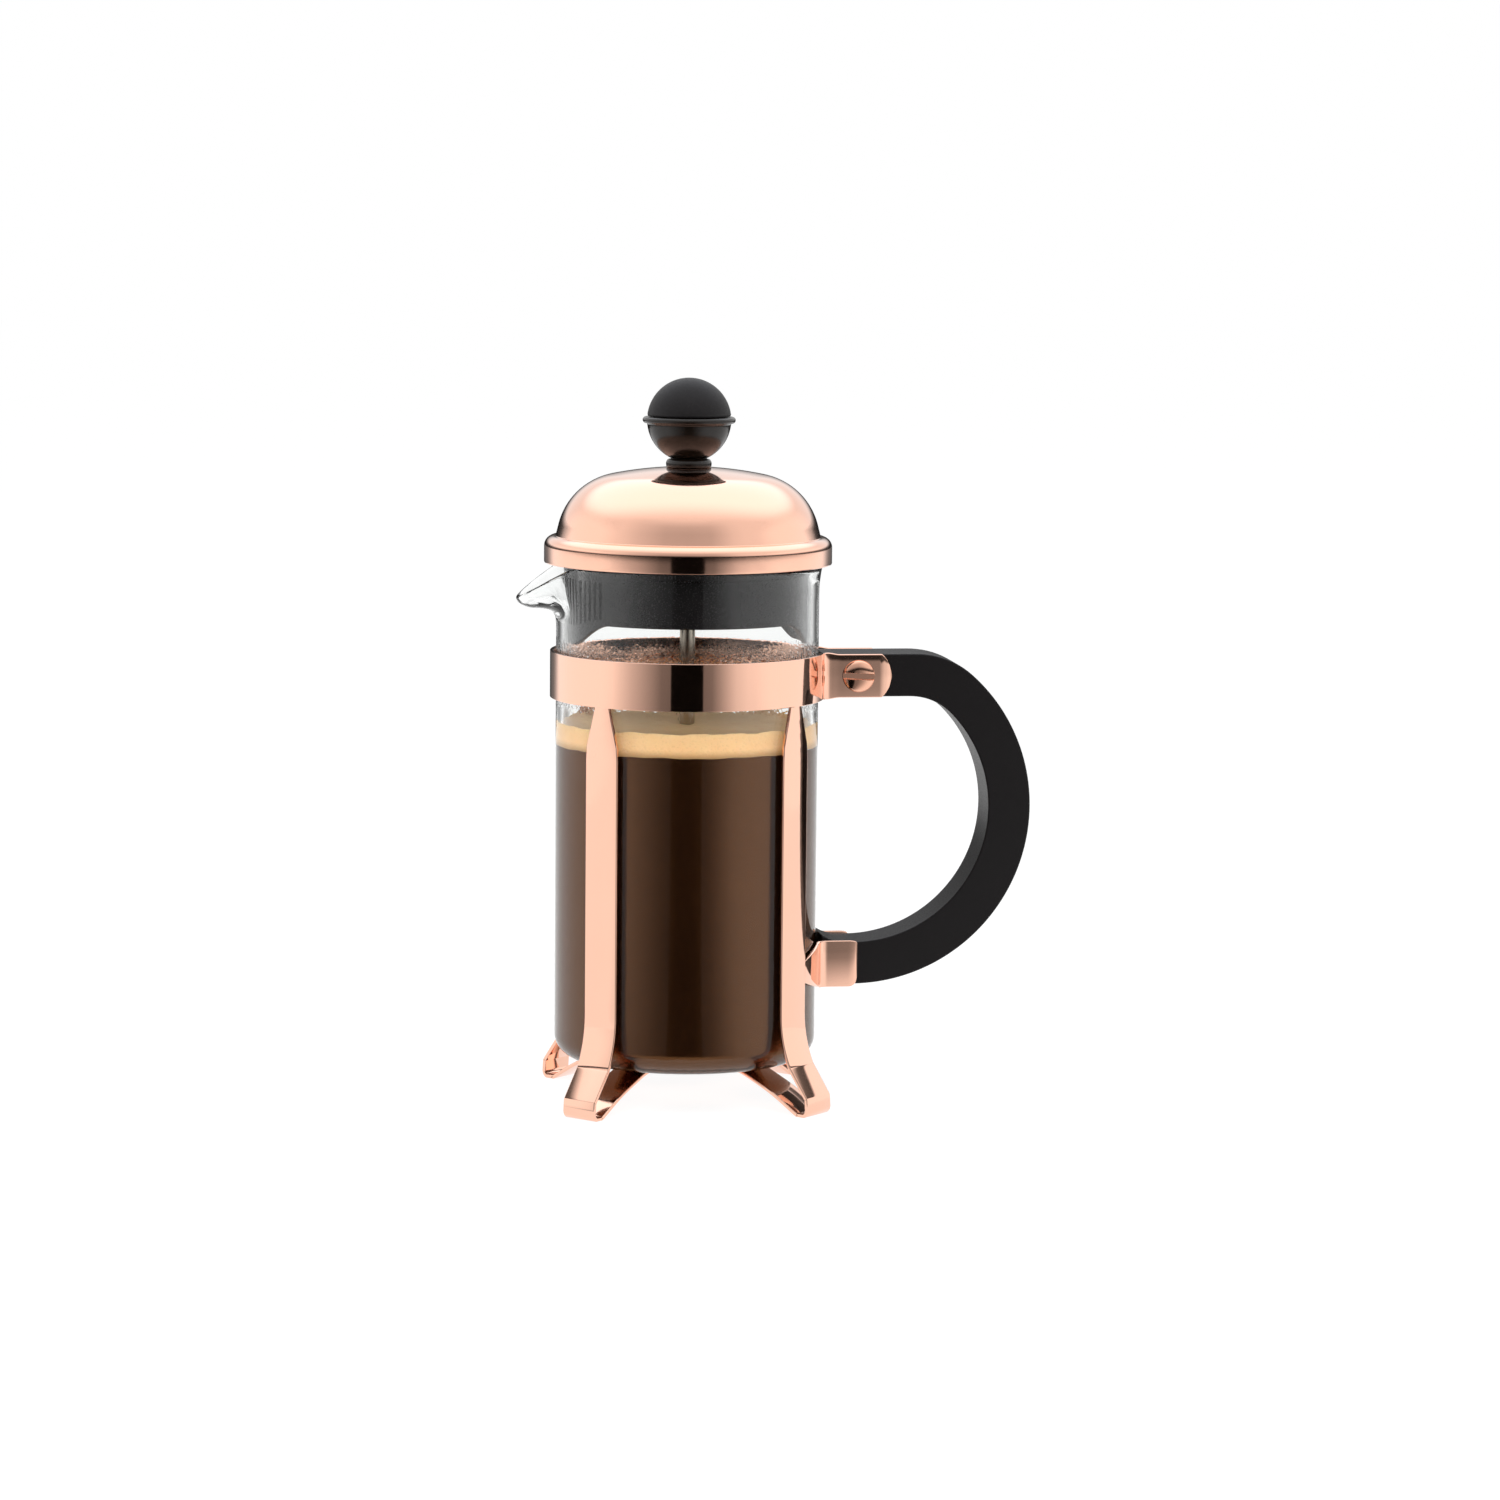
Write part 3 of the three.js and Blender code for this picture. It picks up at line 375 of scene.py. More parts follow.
def closed_shell(name, points, faces, material, sharp=35):
    """Mesh in metres of a closed shell given in millimetres: doubles merged, faces outwards."""
    placed = np.asarray(points, float).reshape(-1, 3) * 0.001 + [AXIS_X, 0, 0]
    mesh = bpy.data.meshes.new(name)
    mesh.from_pydata(placed.tolist(), [], [list(face) for face in faces])
    shell = bmesh.new()
    shell.from_mesh(mesh)
    bmesh.ops.remove_doubles(shell, verts=shell.verts, dist=2e-7)
    bmesh.ops.dissolve_degenerate(shell, edges=shell.edges, dist=1e-8)
    bmesh.ops.recalc_face_normals(shell, faces=shell.faces)
    shell.to_mesh(mesh)
    shell.free()
    mesh.materials.append(material)
    mesh.shade_smooth()
    mesh.set_sharp_from_angle(angle=np.radians(sharp))
    piece = in_scene(name, mesh)
    return piece


def set_piece(piece, body, slot, *nodes):
    """Hangs a finished piece on its body and hides the CAD nodes that it stands in for. Its slot is not used."""
    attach(piece, body)
    if nodes:
        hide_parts(*nodes)
    return piece


def arc(centre_r, centre_z, radius, start, end, steps=8):
    """Points of an arc in a turned profile, between two angles in degrees."""
    a = np.radians(np.linspace(start, end, steps + 1))
    return np.stack([centre_r + radius * np.cos(a), centre_z + radius * np.sin(a)], axis=-1)


def eased(corners, radius, steps=4):
    """Profile through corners, each cut back by a radius and rounded with a curve of degree two."""
    p = np.asarray(corners, float)
    before, corner, after = p[:-2], p[1:-1], p[2:]
    length_in = np.linalg.norm(before - corner, axis=1, keepdims=True)
    length_out = np.linalg.norm(after - corner, axis=1, keepdims=True)
    cut = np.minimum(radius, 0.45 * np.minimum(length_in, length_out))
    start = corner + (before - corner) / length_in * cut
    end = corner + (after - corner) / length_out * cut
    t = np.linspace(0, 1, steps + 1)[None, :, None]
    bent = (1 - t) ** 2 * start[:, None] + 2 * t * (1 - t) * corner[:, None] + t ** 2 * end[:, None]
    return np.concatenate([p[:1], bent.reshape(-1, 2), p[-1:]])


def turned(profile, turns=160):
    """Surface of revolution: each profile point (r, z) goes to (r cos t, r sin t, z)."""
    profile = np.asarray(profile, float)
    t = np.linspace(0, 2 * np.pi, turns, endpoint=False)
    r, z = profile[:, :1], profile[:, 1:]
    return np.stack([r * np.cos(t), r * np.sin(t), z + 0 * t], axis=-1)


def turned_shell(name, profile, material, ring=False, turns=160, sharp=35):
    """Closed shell of a turned profile; a ring's profile closes on itself."""
    grid = turned(profile, turns)
    return closed_shell(name, grid, grid_faces(*grid.shape[:2], ring, True), material, sharp)


def flowing(points, steps=6):
    """Catmull-Rom curve through points of any dimension: each span is a cubic that leaves and
    meets its ends along the line between their neighbours."""
    p = np.asarray(points, float)
    p = np.concatenate([2 * p[:1] - p[1:2], p, 2 * p[-1:] - p[-2:-1]])
    a, b, c, d = (p[i:len(p) - 3 + i, None] for i in range(4))
    t = np.linspace(0, 1, steps, endpoint=False)[None, :, None]
    cubic = 0.5 * (2 * b + (c - a) * t + (2 * a - 5 * b + 4 * c - d) * t ** 2
                   + (3 * b - a - 3 * c + d) * t ** 3)
    return np.concatenate([cubic.reshape(-1, p.shape[1]), p[-2:-1]])


def beaker_rim():
    """Rows of the rim, outside then inside, as (plain r, plain z, spout r, spout z)."""
    root = LIP_Z - 13.4
    tip = LIP_Z - 8.2
    floor = root + 2
    outside = [
        (GLASS_R, root - 3, GLASS_R, root - 3),
        (GLASS_R, root - 0.5, GLASS_R + 0.3, root - 0.6),
        (GLASS_R, root + 2, GLASS_R + 1.6, floor - 0.9),
        (GLASS_R, LIP_Z - 8.6, GLASS_R + 4, floor - 0.3),
        (GLASS_R + 0.1, LIP_Z - 5, SPOUT_REACH - 3.6, floor - 0.1),
        (GLASS_R + 0.5, LIP_Z - 1.8, SPOUT_REACH - 0.9, tip - 2.2),
        (GLASS_R + 0.7, LIP_Z - 0.7, SPOUT_REACH, tip - 0.9),
        (GLASS_R + 0.35, LIP_Z - 0.1, SPOUT_REACH - 0.3, tip - 0.2),
        (GLASS_R - 0.3, LIP_Z, SPOUT_REACH - 0.9, tip),
    ]
    inside = [
        (GLASS_R - 0.9, LIP_Z - 0.4, SPOUT_REACH - 1.6, tip - 0.3),
        (GLASS_R - 1.3, LIP_Z - 1.8, SPOUT_REACH - 2.6, tip - 1.1),
        (GLASS_IN_R, LIP_Z - 4.6, SPOUT_REACH - 5, floor + 1.7),
        (GLASS_IN_R, LIP_Z - 8.2, GLASS_IN_R + 4, floor + 1.5),
        (GLASS_IN_R, root + 2.4, GLASS_IN_R + 1.6, floor + 0.9),
        (GLASS_IN_R, root, GLASS_IN_R + 0.3, root + 1.2),
        (GLASS_IN_R, root - 3, GLASS_IN_R, root - 3),
    ]
    return flowing(outside + inside, 5)


def beaker_grid():
    """Turned profile whose rim rows move to their spout places by the square of a cosine of the
    turn from the spout, with a slight crease where the spout's cheeks meet the wall."""
    rim = beaker_rim()
    bottom = np.concatenate([
        [(0, STAND_H)], arc(GLASS_R - BOTTOM_ROUND, STAND_H + BOTTOM_ROUND, BOTTOM_ROUND, -90, 0, 10)])
    low_in = np.concatenate([
        arc(GLASS_IN_R - INNER_ROUND, STAND_H + FLOOR_T + INNER_ROUND, INNER_ROUND, 0, -90, 10),
        [(0, STAND_H + FLOOR_T)]])
    plain = np.concatenate([bottom, rim[:, :2], low_in])
    spout = np.concatenate([bottom, rim[:, 2:], low_in])
    near = np.linspace(-1, 1, 61)
    close_half = 1.15 * SPOUT_HALF_TURN
    t = np.concatenate([
        np.pi + close_half * near, np.linspace(-np.pi + close_half, np.pi - close_half, 120)[1:-1]])
    turn = np.abs((t - np.pi + np.pi) % (2 * np.pi) - np.pi)
    share = np.cos(np.clip(turn / SPOUT_HALF_TURN, 0, 1) * np.pi / 2) ** 2
    share = share + 0.035 * share * (1 - share) * np.cos(turn / SPOUT_HALF_TURN * 9 * np.pi)
    r = plain[:, :1] + (spout[:, :1] - plain[:, :1]) * share
    z = plain[:, 1:] + (spout[:, 1:] - plain[:, 1:]) * share
    return np.stack([r * np.cos(t), r * np.sin(t), z], axis=-1)


def object_place(tree):
    """Place on the object, in metres, that every finish here is laid out in."""
    return put(tree, "ShaderNodeTexCoord").outputs["Object"]


clear_glass, tree = new_material("clear_glass")
place = object_place(tree)
height = put(tree, "ShaderNodeSeparateXYZ", {0: place}).outputs["Z"]
above = remap(tree, height, (FOAM_TOP + 4) / 1000, (FOAM_TOP + 15) / 1000)
below = remap(tree, height, 0.1245, 0.118)
misted = maths(tree, "MULTIPLY", above.outputs[0], below.outputs[0])
droplets = put(tree, "ShaderNodeTexVoronoi", {"Vector": place, "Scale": 900.0, "Randomness": 1.0})
beads = remap(tree, droplets.outputs["Distance"], 0.28, 0.5, 1.0, 0.25)
mist = maths(tree, "MULTIPLY", misted.outputs[0], beads.outputs[0])
mist_rough = maths(tree, "MULTIPLY", mist.outputs[0], 0.3)
mist_bump = put(tree, "ShaderNodeBump", {"Height": mist.outputs[0], "Strength": 0.5, "Distance": 0.0002})
glass = put(tree, "ShaderNodeBsdfPrincipled", {
    "Base Color": (0.975, 0.985, 0.98, 1), "Transmission Weight": 1.0, "IOR": GLASS_INDEX,
    "Roughness": mist_rough.outputs[0], "Normal": mist_bump.outputs[0]})
path = put(tree, "ShaderNodeLightPath")
lights_inside = maths(tree, "MAXIMUM", path.outputs["Is Shadow Ray"], path.outputs["Is Diffuse Ray"])
passing = put(tree, "ShaderNodeBsdfTransparent", {"Color": (0.96, 0.97, 0.965, 1)})
lit_through = blended(tree, lights_inside.outputs[0], glass, passing)
cover(tree, lit_through)

grid = beaker_grid()
set_piece(closed_shell("glass_beaker", grid, grid_faces(*grid.shape[:2], False, True), clear_glass, 60),
          "beaker", "clear_glass", "beaker")

# ---- Coffee and foam ------------------------------------------------------------------
# Black coffee fills the beaker to just under the band, with a 6 mm layer of pale foam on it.
# It wets the glass, so its skin lies a hair inside the wall.
FOAM_BOTTOM = 95.2
WET = 0.06
WET_R = GLASS_IN_R + WET

coffee_brown, tree = new_material("black_coffee")
place = object_place(tree)
cloud = put(tree, "ShaderNodeTexNoise", {"Vector": place, "Scale": 30.0, "Detail": 3.0})
tone = two_tones(tree, cloud.outputs["Fac"], (0.010, 0.0034, 0.0016, 1), (0.017, 0.0058, 0.0024, 1))
ripple = put(tree, "ShaderNodeTexNoise", {"Vector": place, "Scale": 120.0, "Detail": 2.0})
swell = put(tree, "ShaderNodeBump", {"Height": ripple.outputs["Fac"], "Strength": 0.05, "Distance": 0.0003})
coffee = put(tree, "ShaderNodeBsdfPrincipled", {
    "Base Color": tone.outputs["Result"], "Roughness": 0.2, "IOR": 1.9, "Specular Tint": (1.0, 0.42, 0.15, 1),
    "Sheen Weight": 0.8, "Sheen Roughness": 0.25, "Sheen Tint": (1.0, 0.45, 0.19, 1),
    "Normal": swell.outputs[0]})
cover(tree, coffee)
set_piece(turned_shell("coffee", np.concatenate([
    [(0, STAND_H + FLOOR_T - WET)],
    arc(WET_R - INNER_ROUND, STAND_H + FLOOR_T + INNER_ROUND - WET, INNER_ROUND, -90, 0, 12),
    [(WET_R, FOAM_BOTTOM + 0.2), (0, FOAM_BOTTOM + 0.2)]]), coffee_brown, turns=192), "beaker", None)

foam_cream, tree = new_material("coffee_foam")
place = object_place(tree)
patches = put(tree, "ShaderNodeTexNoise", {"Vector": place, "Scale": 160.0, "Detail": 6.0, "Roughness": 0.7})
bubbles = put(tree, "ShaderNodeTexVoronoi", {"Vector": place, "Scale": 1300.0})
height = put(tree, "ShaderNodeSeparateXYZ", {0: place}).outputs["Z"]
depth = remap(tree, height, FOAM_BOTTOM / 1000, (FOAM_BOTTOM + 2.6) / 1000, interpolation_type="SMOOTHSTEP")
pale = two_tones(tree, patches.outputs["Fac"], (0.92, 0.50, 0.21, 1), (1.0, 0.66, 0.34, 1))
stained = two_tones(tree, depth.outputs[0], (0.46, 0.23, 0.08, 1), pale.outputs["Result"])
speck = remap(tree, bubbles.outputs["Distance"], 0.0, 0.35, 0.85, 1.0)
speckled = two_tones(tree, 1.0, stained.outputs["Result"], speck.outputs[0], blend_type="MULTIPLY")
froth = put(tree, "ShaderNodeBump", {
    "Height": bubbles.outputs["Distance"], "Strength": 0.4, "Distance": 0.0003})
foam = put(tree, "ShaderNodeBsdfPrincipled", {
    "Base Color": speckled.outputs["Result"], "Roughness": 0.6, "Subsurface Weight": 0.35,
    "Subsurface Scale": 0.003, "Subsurface Radius": (1.0, 0.6, 0.3), "Sheen Weight": 1.0, "Sheen Roughness": 0.6,
    "Sheen Tint": (1.0, 0.72, 0.42, 1), "Normal": froth.outputs[0]})
cover(tree, foam)


def foam_grid():
    """Disc of foam: its top climbs the glass at the edge and is rolled by a few low waves."""
    off_wall = np.linspace(0.15, 4, 14)
    profile = np.concatenate([
        [(0, FOAM_BOTTOM + 0.25), (WET_R, FOAM_BOTTOM + 0.25), (WET_R, FOAM_TOP + 0.9)],
        np.stack([WET_R - off_wall, FOAM_TOP + 0.9 * np.exp(-off_wall / 1.1)], axis=-1),
        np.stack([np.linspace(WET_R - 4.6, 0, 26), np.full(26, FOAM_TOP)], axis=-1)])
    grid = turned(profile, 192)
    x, y = grid[..., 0], grid[..., 1]
    wave = 0.16 * np.sin(0.55 * x + 0.3 * y) + 0.12 * np.sin(0.9 * y - 0.4 * x + 1)
    wave = wave + 0.07 * np.sin(1.7 * x + 1.3 * y)
    top = np.arange(len(profile)) > 1
    edge = 0.12 * np.sin(9 * np.arctan2(y, x)) + 0.1 * np.sin(23 * np.arctan2(y, x) + 1)
    grid[..., 2] += np.where(top[:, None], wave, edge)
    return grid


grid = foam_grid()
set_piece(closed_shell("foam", grid, grid_faces(*grid.shape[:2], False, True), foam_cream, 50), "beaker", None)

# ---- Frame ----------------------------------------------------------------------------
# One stamping of 1 mm steel sheet, bent, polished and plated with copper: a band with two ears
# round the handle, and four legs that bow out to rolled feet and run back in under the glass.
band_low, band_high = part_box("frame_band")
leg_low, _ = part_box("leg_front_left")
SHEET = 1.0
SHEET_R = band_high.y * 1000 - SHEET / 2
BAND_Z = band_low.z * 1000
BAND_H = (band_high.z - band_low.z) * 1000
HANDLE_T = (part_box("handle")[1].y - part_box("handle")[0].y) * 1000
EAR_Y = HANDLE_T / 2 + 0.3 + SHEET / 2
EAR_REACH = (band_high.x - AXIS_X) * 1000
EAR_END_R = 7.7
BEND_R = 3.0


def plated_copper(name, colour, rough_low, rough_high, grain):
    """Polished copper plate: two close tones in soft clouds, a fine haze in its polish, and a
    barely visible grain left by the mop."""
    material, tree = new_material(name)
    place = object_place(tree)
    clouds = put(tree, "ShaderNodeTexNoise", {"Vector": place, "Scale": 45.0, "Detail": 4.0})
    redder = (colour[0] * 0.985, colour[1] * 0.955, colour[2] * 0.94, 1)
    tone = two_tones(tree, clouds.outputs["Fac"], redder, (*colour, 1))
    squeezed = put(tree, "ShaderNodeMapping", {"Vector": place, "Scale": grain})
    mop = put(tree, "ShaderNodeTexNoise", {
        "Vector": squeezed.outputs[0], "Scale": 1.0, "Detail": 5.0, "Roughness": 0.65})
    haze = remap(tree, mop.outputs["Fac"], 0.3, 0.7, rough_low, rough_high)
    grained = put(tree, "ShaderNodeBump", {"Height": mop.outputs["Fac"], "Strength": 0.012, "Distance": 0.0001})
    metal = put(tree, "ShaderNodeBsdfPrincipled", {
        "Base Color": tone.outputs["Result"], "Metallic": 1.0, "Roughness": haze.outputs[0], "Coat Weight": 0.6,
        "Coat Roughness": 0.03, "Normal": grained.outputs[0]})
    cover(tree, metal)
    return material


copper_plate = plated_copper("copper_plate", (0.93, 0.55, 0.405), 0.045, 0.08, (420, 420, 300))


def rounded_section(half_wide, half_thick, radius, steps=3):
    """Outline of a strip's section: four quarter rounds, one after another round the middle.
    The half sizes may be arrays, with one value for each place along the strip."""
    a = np.radians(np.concatenate([np.linspace(q, q + 90, steps + 1) for q in (0, 90, 180, 270)]))
    way = np.repeat([[1, 1], [-1, 1], [-1, -1], [1, -1]], steps + 1, axis=0)
    wide = np.asarray(half_wide, float)[..., None]
    thick = np.asarray(half_thick, float)[..., None]
    return way[:, 0] * (wide - radius) + radius * np.cos(a), way[:, 1] * (thick - radius) + radius * np.sin(a)


def capped(grid):
    """Closes both ends of a swept tube with a point at each end's middle."""
    ends = [np.repeat(grid[i].mean(axis=0, keepdims=True), grid.shape[1], axis=0)[None] for i in (0, -1)]
    return np.concatenate([ends[0], grid, ends[1]])


def path_normals(path):
    """Unit normals of a flat path, to its left, from the line between each point's neighbours."""
    along = np.gradient(path, axis=0)
    along /= np.linalg.norm(along, axis=1, keepdims=True)
    return np.stack([-along[:, 1], along[:, 0]], axis=-1)


def upright_strip(plan, low, high, thick=SHEET, radius=0.28):
    """Sheet that stands on edge along a plan path, between a lower and an upper line."""
    normal = path_normals(plan)
    low, high = np.broadcast_to(low, len(plan)), np.broadcast_to(high, len(plan))
    rise, out = rounded_section((high - low) / 2, np.full(len(plan), thick / 2), radius)
    x = plan[:, :1] + normal[:, :1] * out
    y = plan[:, 1:] + normal[:, 1:] * out
    return capped(np.stack([x, y, (low + high)[:, None] / 2 + rise], axis=-1))


def sheet_plan(start, reach, steps):
    """Plan of the sheet: round the glass from a start angle, through a bend, then straight out
    along the side of the handle."""
    cx = np.sqrt((SHEET_R + BEND_R) ** 2 - (EAR_Y + BEND_R) ** 2)
    cy = EAR_Y + BEND_R
    meet = np.degrees(np.arctan2(cy, cx))
    straight = np.linspace(cx, reach, 26)[1:]
    return np.concatenate([
        arc(0, 0, SHEET_R, start, meet, steps),
        arc(cx, cy, BEND_R, meet + 180, 270, 12)[1:],
        np.stack([straight, np.full(25, EAR_Y)], axis=-1)])


half_plan = sheet_plan(180, EAR_REACH - 0.02, 110)
plan = np.concatenate([half_plan[:0:-1] * [1, -1], half_plan])
mid_z = BAND_Z + BAND_H / 2
x = plan[:, 0]
drop = np.clip((x - SHEET_R - BEND_R + 2.5) / 3.5, 0, 1)
half_h = BAND_H / 2 - 0.45 * drop * drop * (3 - 2 * drop)
past = np.clip(x - (EAR_REACH - EAR_END_R), 0, None)
half_h = np.maximum(np.minimum(half_h, np.sqrt(np.clip(EAR_END_R ** 2 - past ** 2, 0, None))), 0.6)
grid = upright_strip(plan, mid_z - half_h, mid_z + half_h)
# The band's two long edges are turned out a little, as the press tool leaves them
radial = np.hypot(grid[..., 0], grid[..., 1])
turned_out = 0.28 * np.clip((np.abs(grid[..., 2] - mid_z) - BAND_H / 2 + 1.6) / 1.6, 0, 1) ** 2
on_band = radial < SHEET_R + 0.8
grid[..., :2] *= np.where(on_band, 1 + turned_out / radial, 1)[..., None]
set_piece(closed_shell("copper_band", grid, grid_faces(*grid.shape[:2], False, True), copper_plate),
          "frame", "copper_plate", "frame_band")

LEG_W = 10.4
NECK_W = 4.6
NECK_H = 11.0
KINK_Z = 12.6
KINK_OUT = 3.1
BOW_H = 14.0
CREASE_Z = 5.2
FOOT_REACH = 45.2
ROLL_R = 2.3
FOOT_FLAT = 0.9
RETURN_R = 20.5
LEG_END_R = 6.6


def leg_side_path():
    """Side view (r, z) of a leg: down the glass, bowed out to the kink, sloped to the crease,
    round the roll, and back in a long bend under the glass."""
    roll = ROLL_R - SHEET / 2
    roll_x = FOOT_REACH - ROLL_R
    roll_z = SHEET / 2 + np.sqrt(roll ** 2 - FOOT_FLAT ** 2)
    level = STAND_H - 0.3 - SHEET / 2
    down = np.stack([np.full(24, SHEET_R), np.linspace(BAND_Z + 0.3, KINK_Z + BOW_H + 1, 24)], axis=-1)
    bow_t = np.linspace(0, 1, 15)[1:]
    bow = np.stack([SHEET_R + KINK_OUT * bow_t ** 2.1, KINK_Z + BOW_H * (1 - bow_t)], axis=-1)
    slope = flowing([(SHEET_R + KINK_OUT, KINK_Z), (SHEET_R + KINK_OUT + 0.8, KINK_Z - 1.1),
                     (roll_x + roll - 0.75, CREASE_Z + 0.45), (roll_x + roll - 0.2, CREASE_Z - 0.35)], 6)[1:]
    roll_arc = arc(roll_x, roll_z, roll, 0, -np.degrees(np.arccos(FOOT_FLAT / roll)), 10)
    back = flowing([(roll_x - FOOT_FLAT - 0.2, SHEET / 2 + 0.02), (roll_x - FOOT_FLAT - 1.2, SHEET / 2 + 0.35),
                    (RETURN_R + 13, level - 5.2), (RETURN_R + 6.5, level - 2.2), (RETURN_R + 2, level - 0.45),
                    (RETURN_R - 2, level), (RETURN_R - 8, level), (LEG_END_R, level)], 7)
    sole = [(roll_x + FOOT_FLAT * 0.5, SHEET / 2), (roll_x - FOOT_FLAT * 0.5, SHEET / 2)]
    return np.concatenate([down, bow, slope, roll_arc, sole, back])


def leg_grid(turn):
    """The strip's rounded section carried along the side path, across the direction of the leg;
    its neck widens evenly below the band."""
    path = leg_side_path()
    normal = path_normals(path)
    below = BAND_Z - path[:, 1]
    on_front = np.arange(len(path)) < 24
    neck = np.clip(below / NECK_H, 0, 1)
    half_wide = np.where(on_front, NECK_W / 2 + (LEG_W - NECK_W) / 2 * neck, LEG_W / 2)
    half_thick = np.where(below < 0.05, SHEET / 2 - 0.06, SHEET / 2)
    across, out = rounded_section(half_wide, half_thick, 0.24)
    r = path[:, :1] + normal[:, :1] * out
    z = path[:, 1:] + normal[:, 1:] * out
    c, s = np.cos(turn), np.sin(turn)
    return capped(np.stack([r * c - across * s, r * s + across * c, z], axis=-1))


CLIP_Z = 30.4
CLIP_H = 12.5
CLIP_REACH = 45.4
CLIP_ROOT_H = 5.4


def clip_grid(side):
    """Tab from a handle-side leg that opens out to a clip along the side of the handle, with its
    free lower corner rounded."""
    path = sheet_plan(39.5, CLIP_REACH, 16)
    fold_x = np.sqrt(SHEET_R ** 2 - EAR_Y ** 2)
    edge = np.arcsin(LEG_W / 2 / SHEET_R)
    root_x = SHEET_R * np.cos(np.pi / 4 - edge)
    open_up = np.clip((path[:, 0] - root_x) / (fold_x - root_x), 0, 1)
    middle = CLIP_Z + CLIP_H / 2
    half = CLIP_ROOT_H / 2 + (CLIP_H - CLIP_ROOT_H) / 2 * open_up
    past = np.clip(path[:, 0] - (CLIP_REACH - 2.2), 0, 2.2)
    corner = 2.2 - np.sqrt(np.clip(2.2 ** 2 - past ** 2, 0, None))
    grid = upright_strip(path, middle - half + corner, middle + half - 0.25 * corner)
    return grid * [1, side, 1]


for name, degrees, side in (("leg_back_right", 45, 1), ("leg_back_left", 135, 0),
                            ("leg_front_left", 225, 0), ("leg_front_right", 315, -1)):
    grid = leg_grid(np.radians(degrees))
    points, faces = grid.reshape(-1, 3), grid_faces(*grid.shape[:2], False, True)
    if side:
        clip = clip_grid(side)
        faces = np.concatenate([faces, len(points) + grid_faces(*clip.shape[:2], False, True)])
        points = np.concatenate([points, clip.reshape(-1, 3)])
    set_piece(closed_shell("copper_" + name, points, faces, copper_plate), "frame", "copper_plate", name)


def refinish(node, material):
    """Gives a carried-over CAD node its finish."""
    piece = bpy.data.objects[node]
    piece.data.materials.clear()
    piece.data.materials.append(material)


refinish("base_plate", copper_plate)

# ---- Handle ---------------------------------------------------------------------------
# A D-shaped moulding of black plastic, satin to the touch, 11.4 by 15 mm in section with rounded
# edges. Its upper arm is screwed between the ears and its lower end is held by the two clips.
handle_low, handle_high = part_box("handle")
SECTION = 11.4
HANDLE_LOW_Z = handle_low.z * 1000
HANDLE_TOP_Z = handle_high.z * 1000
HANDLE_REACH = (handle_high.x - AXIS_X) * 1000
HANDLE_R = (HANDLE_TOP_Z - HANDLE_LOW_Z) / 2 + 3


def blend_corner(cx, cz, radius, level, steps=12):
    """Curve of degree two from a level arm into the circle of the D."""
    at = np.arcsin((level - cz) / radius) - np.radians(12.5)
    px, pz = cx + radius * np.cos(at), cz + radius * np.sin(at)
    length = (level - pz) / np.cos(at)
    corner_x = px - length * np.sin(at)
    t = np.linspace(0, 1, steps + 1)[:, None]
    start, corner, end = (np.array(p) for p in ((corner_x - length, level), (corner_x, level), (px, pz)))
    return (1 - t) ** 2 * start + 2 * t * (1 - t) * corner + t ** 2 * end, np.degrees(at)


def handle_outline():
    """Outline of the D in side view, round from the upper arm's end to the lower arm's and back."""
    upper = HANDLE_TOP_Z - SECTION
    cx, cz, inner_r = HANDLE_REACH - HANDLE_R, HANDLE_LOW_Z + HANDLE_R, HANDLE_R - SECTION
    end_x = GLASS_R + 0.75
    outer_blend, outer_at = blend_corner(cx, cz, HANDLE_R, HANDLE_TOP_Z)
    inner_blend, inner_at = blend_corner(cx, cz, inner_r, upper)
    outer = np.concatenate([outer_blend, arc(cx, cz, HANDLE_R, outer_at, -90, 72)[1:]])
    inner = np.concatenate([arc(cx, cz, inner_r, -90, inner_at, 66), inner_blend[::-1][1:]])
    flare = [(end_x, HANDLE_LOW_Z + SECTION + 2.3), (GLASS_R + 1.5, HANDLE_LOW_Z + SECTION + 1.7),
             (GLASS_R + 2.9, HANDLE_LOW_Z + SECTION + 0.95), (GLASS_R + 4.5, HANDLE_LOW_Z + SECTION + 0.4),
             (GLASS_R + 6.3, HANDLE_LOW_Z + SECTION + 0.08)]
    return np.concatenate([
        [(end_x, HANDLE_TOP_Z)], outer, [(end_x, HANDLE_LOW_Z)], flare, inner, [(end_x, upper)]])


def moulded_plastic(name, colour, rough_low, rough_high, pebble, specular):
    """Moulded plastic: near-black in two tones, with a fine spark-eroded pebble."""
    material, tree = new_material(name)
    place = object_place(tree)
    clouds = put(tree, "ShaderNodeTexNoise", {"Vector": place, "Scale": 60.0, "Detail": 5.0})
    lighter = tuple(min(c * 1.35, 1) for c in colour)
    tone = two_tones(tree, clouds.outputs["Fac"], (*colour, 1), (*lighter, 1))
    fine = put(tree, "ShaderNodeTexNoise", {"Vector": place, "Scale": 2600.0, "Detail": 2.0})
    gloss = remap(tree, fine.outputs["Fac"], 0.3, 0.7, rough_low, rough_high)
    bump = put(tree, "ShaderNodeBump", {"Height": fine.outputs["Fac"], "Strength": pebble, "Distance": 0.00008})
    plastic = put(tree, "ShaderNodeBsdfPrincipled", {
        "Base Color": tone.outputs["Result"], "Roughness": gloss.outputs[0], "Specular IOR Level": specular,
        "Normal": bump.outputs[0]})
    cover(tree, plastic)
    return material


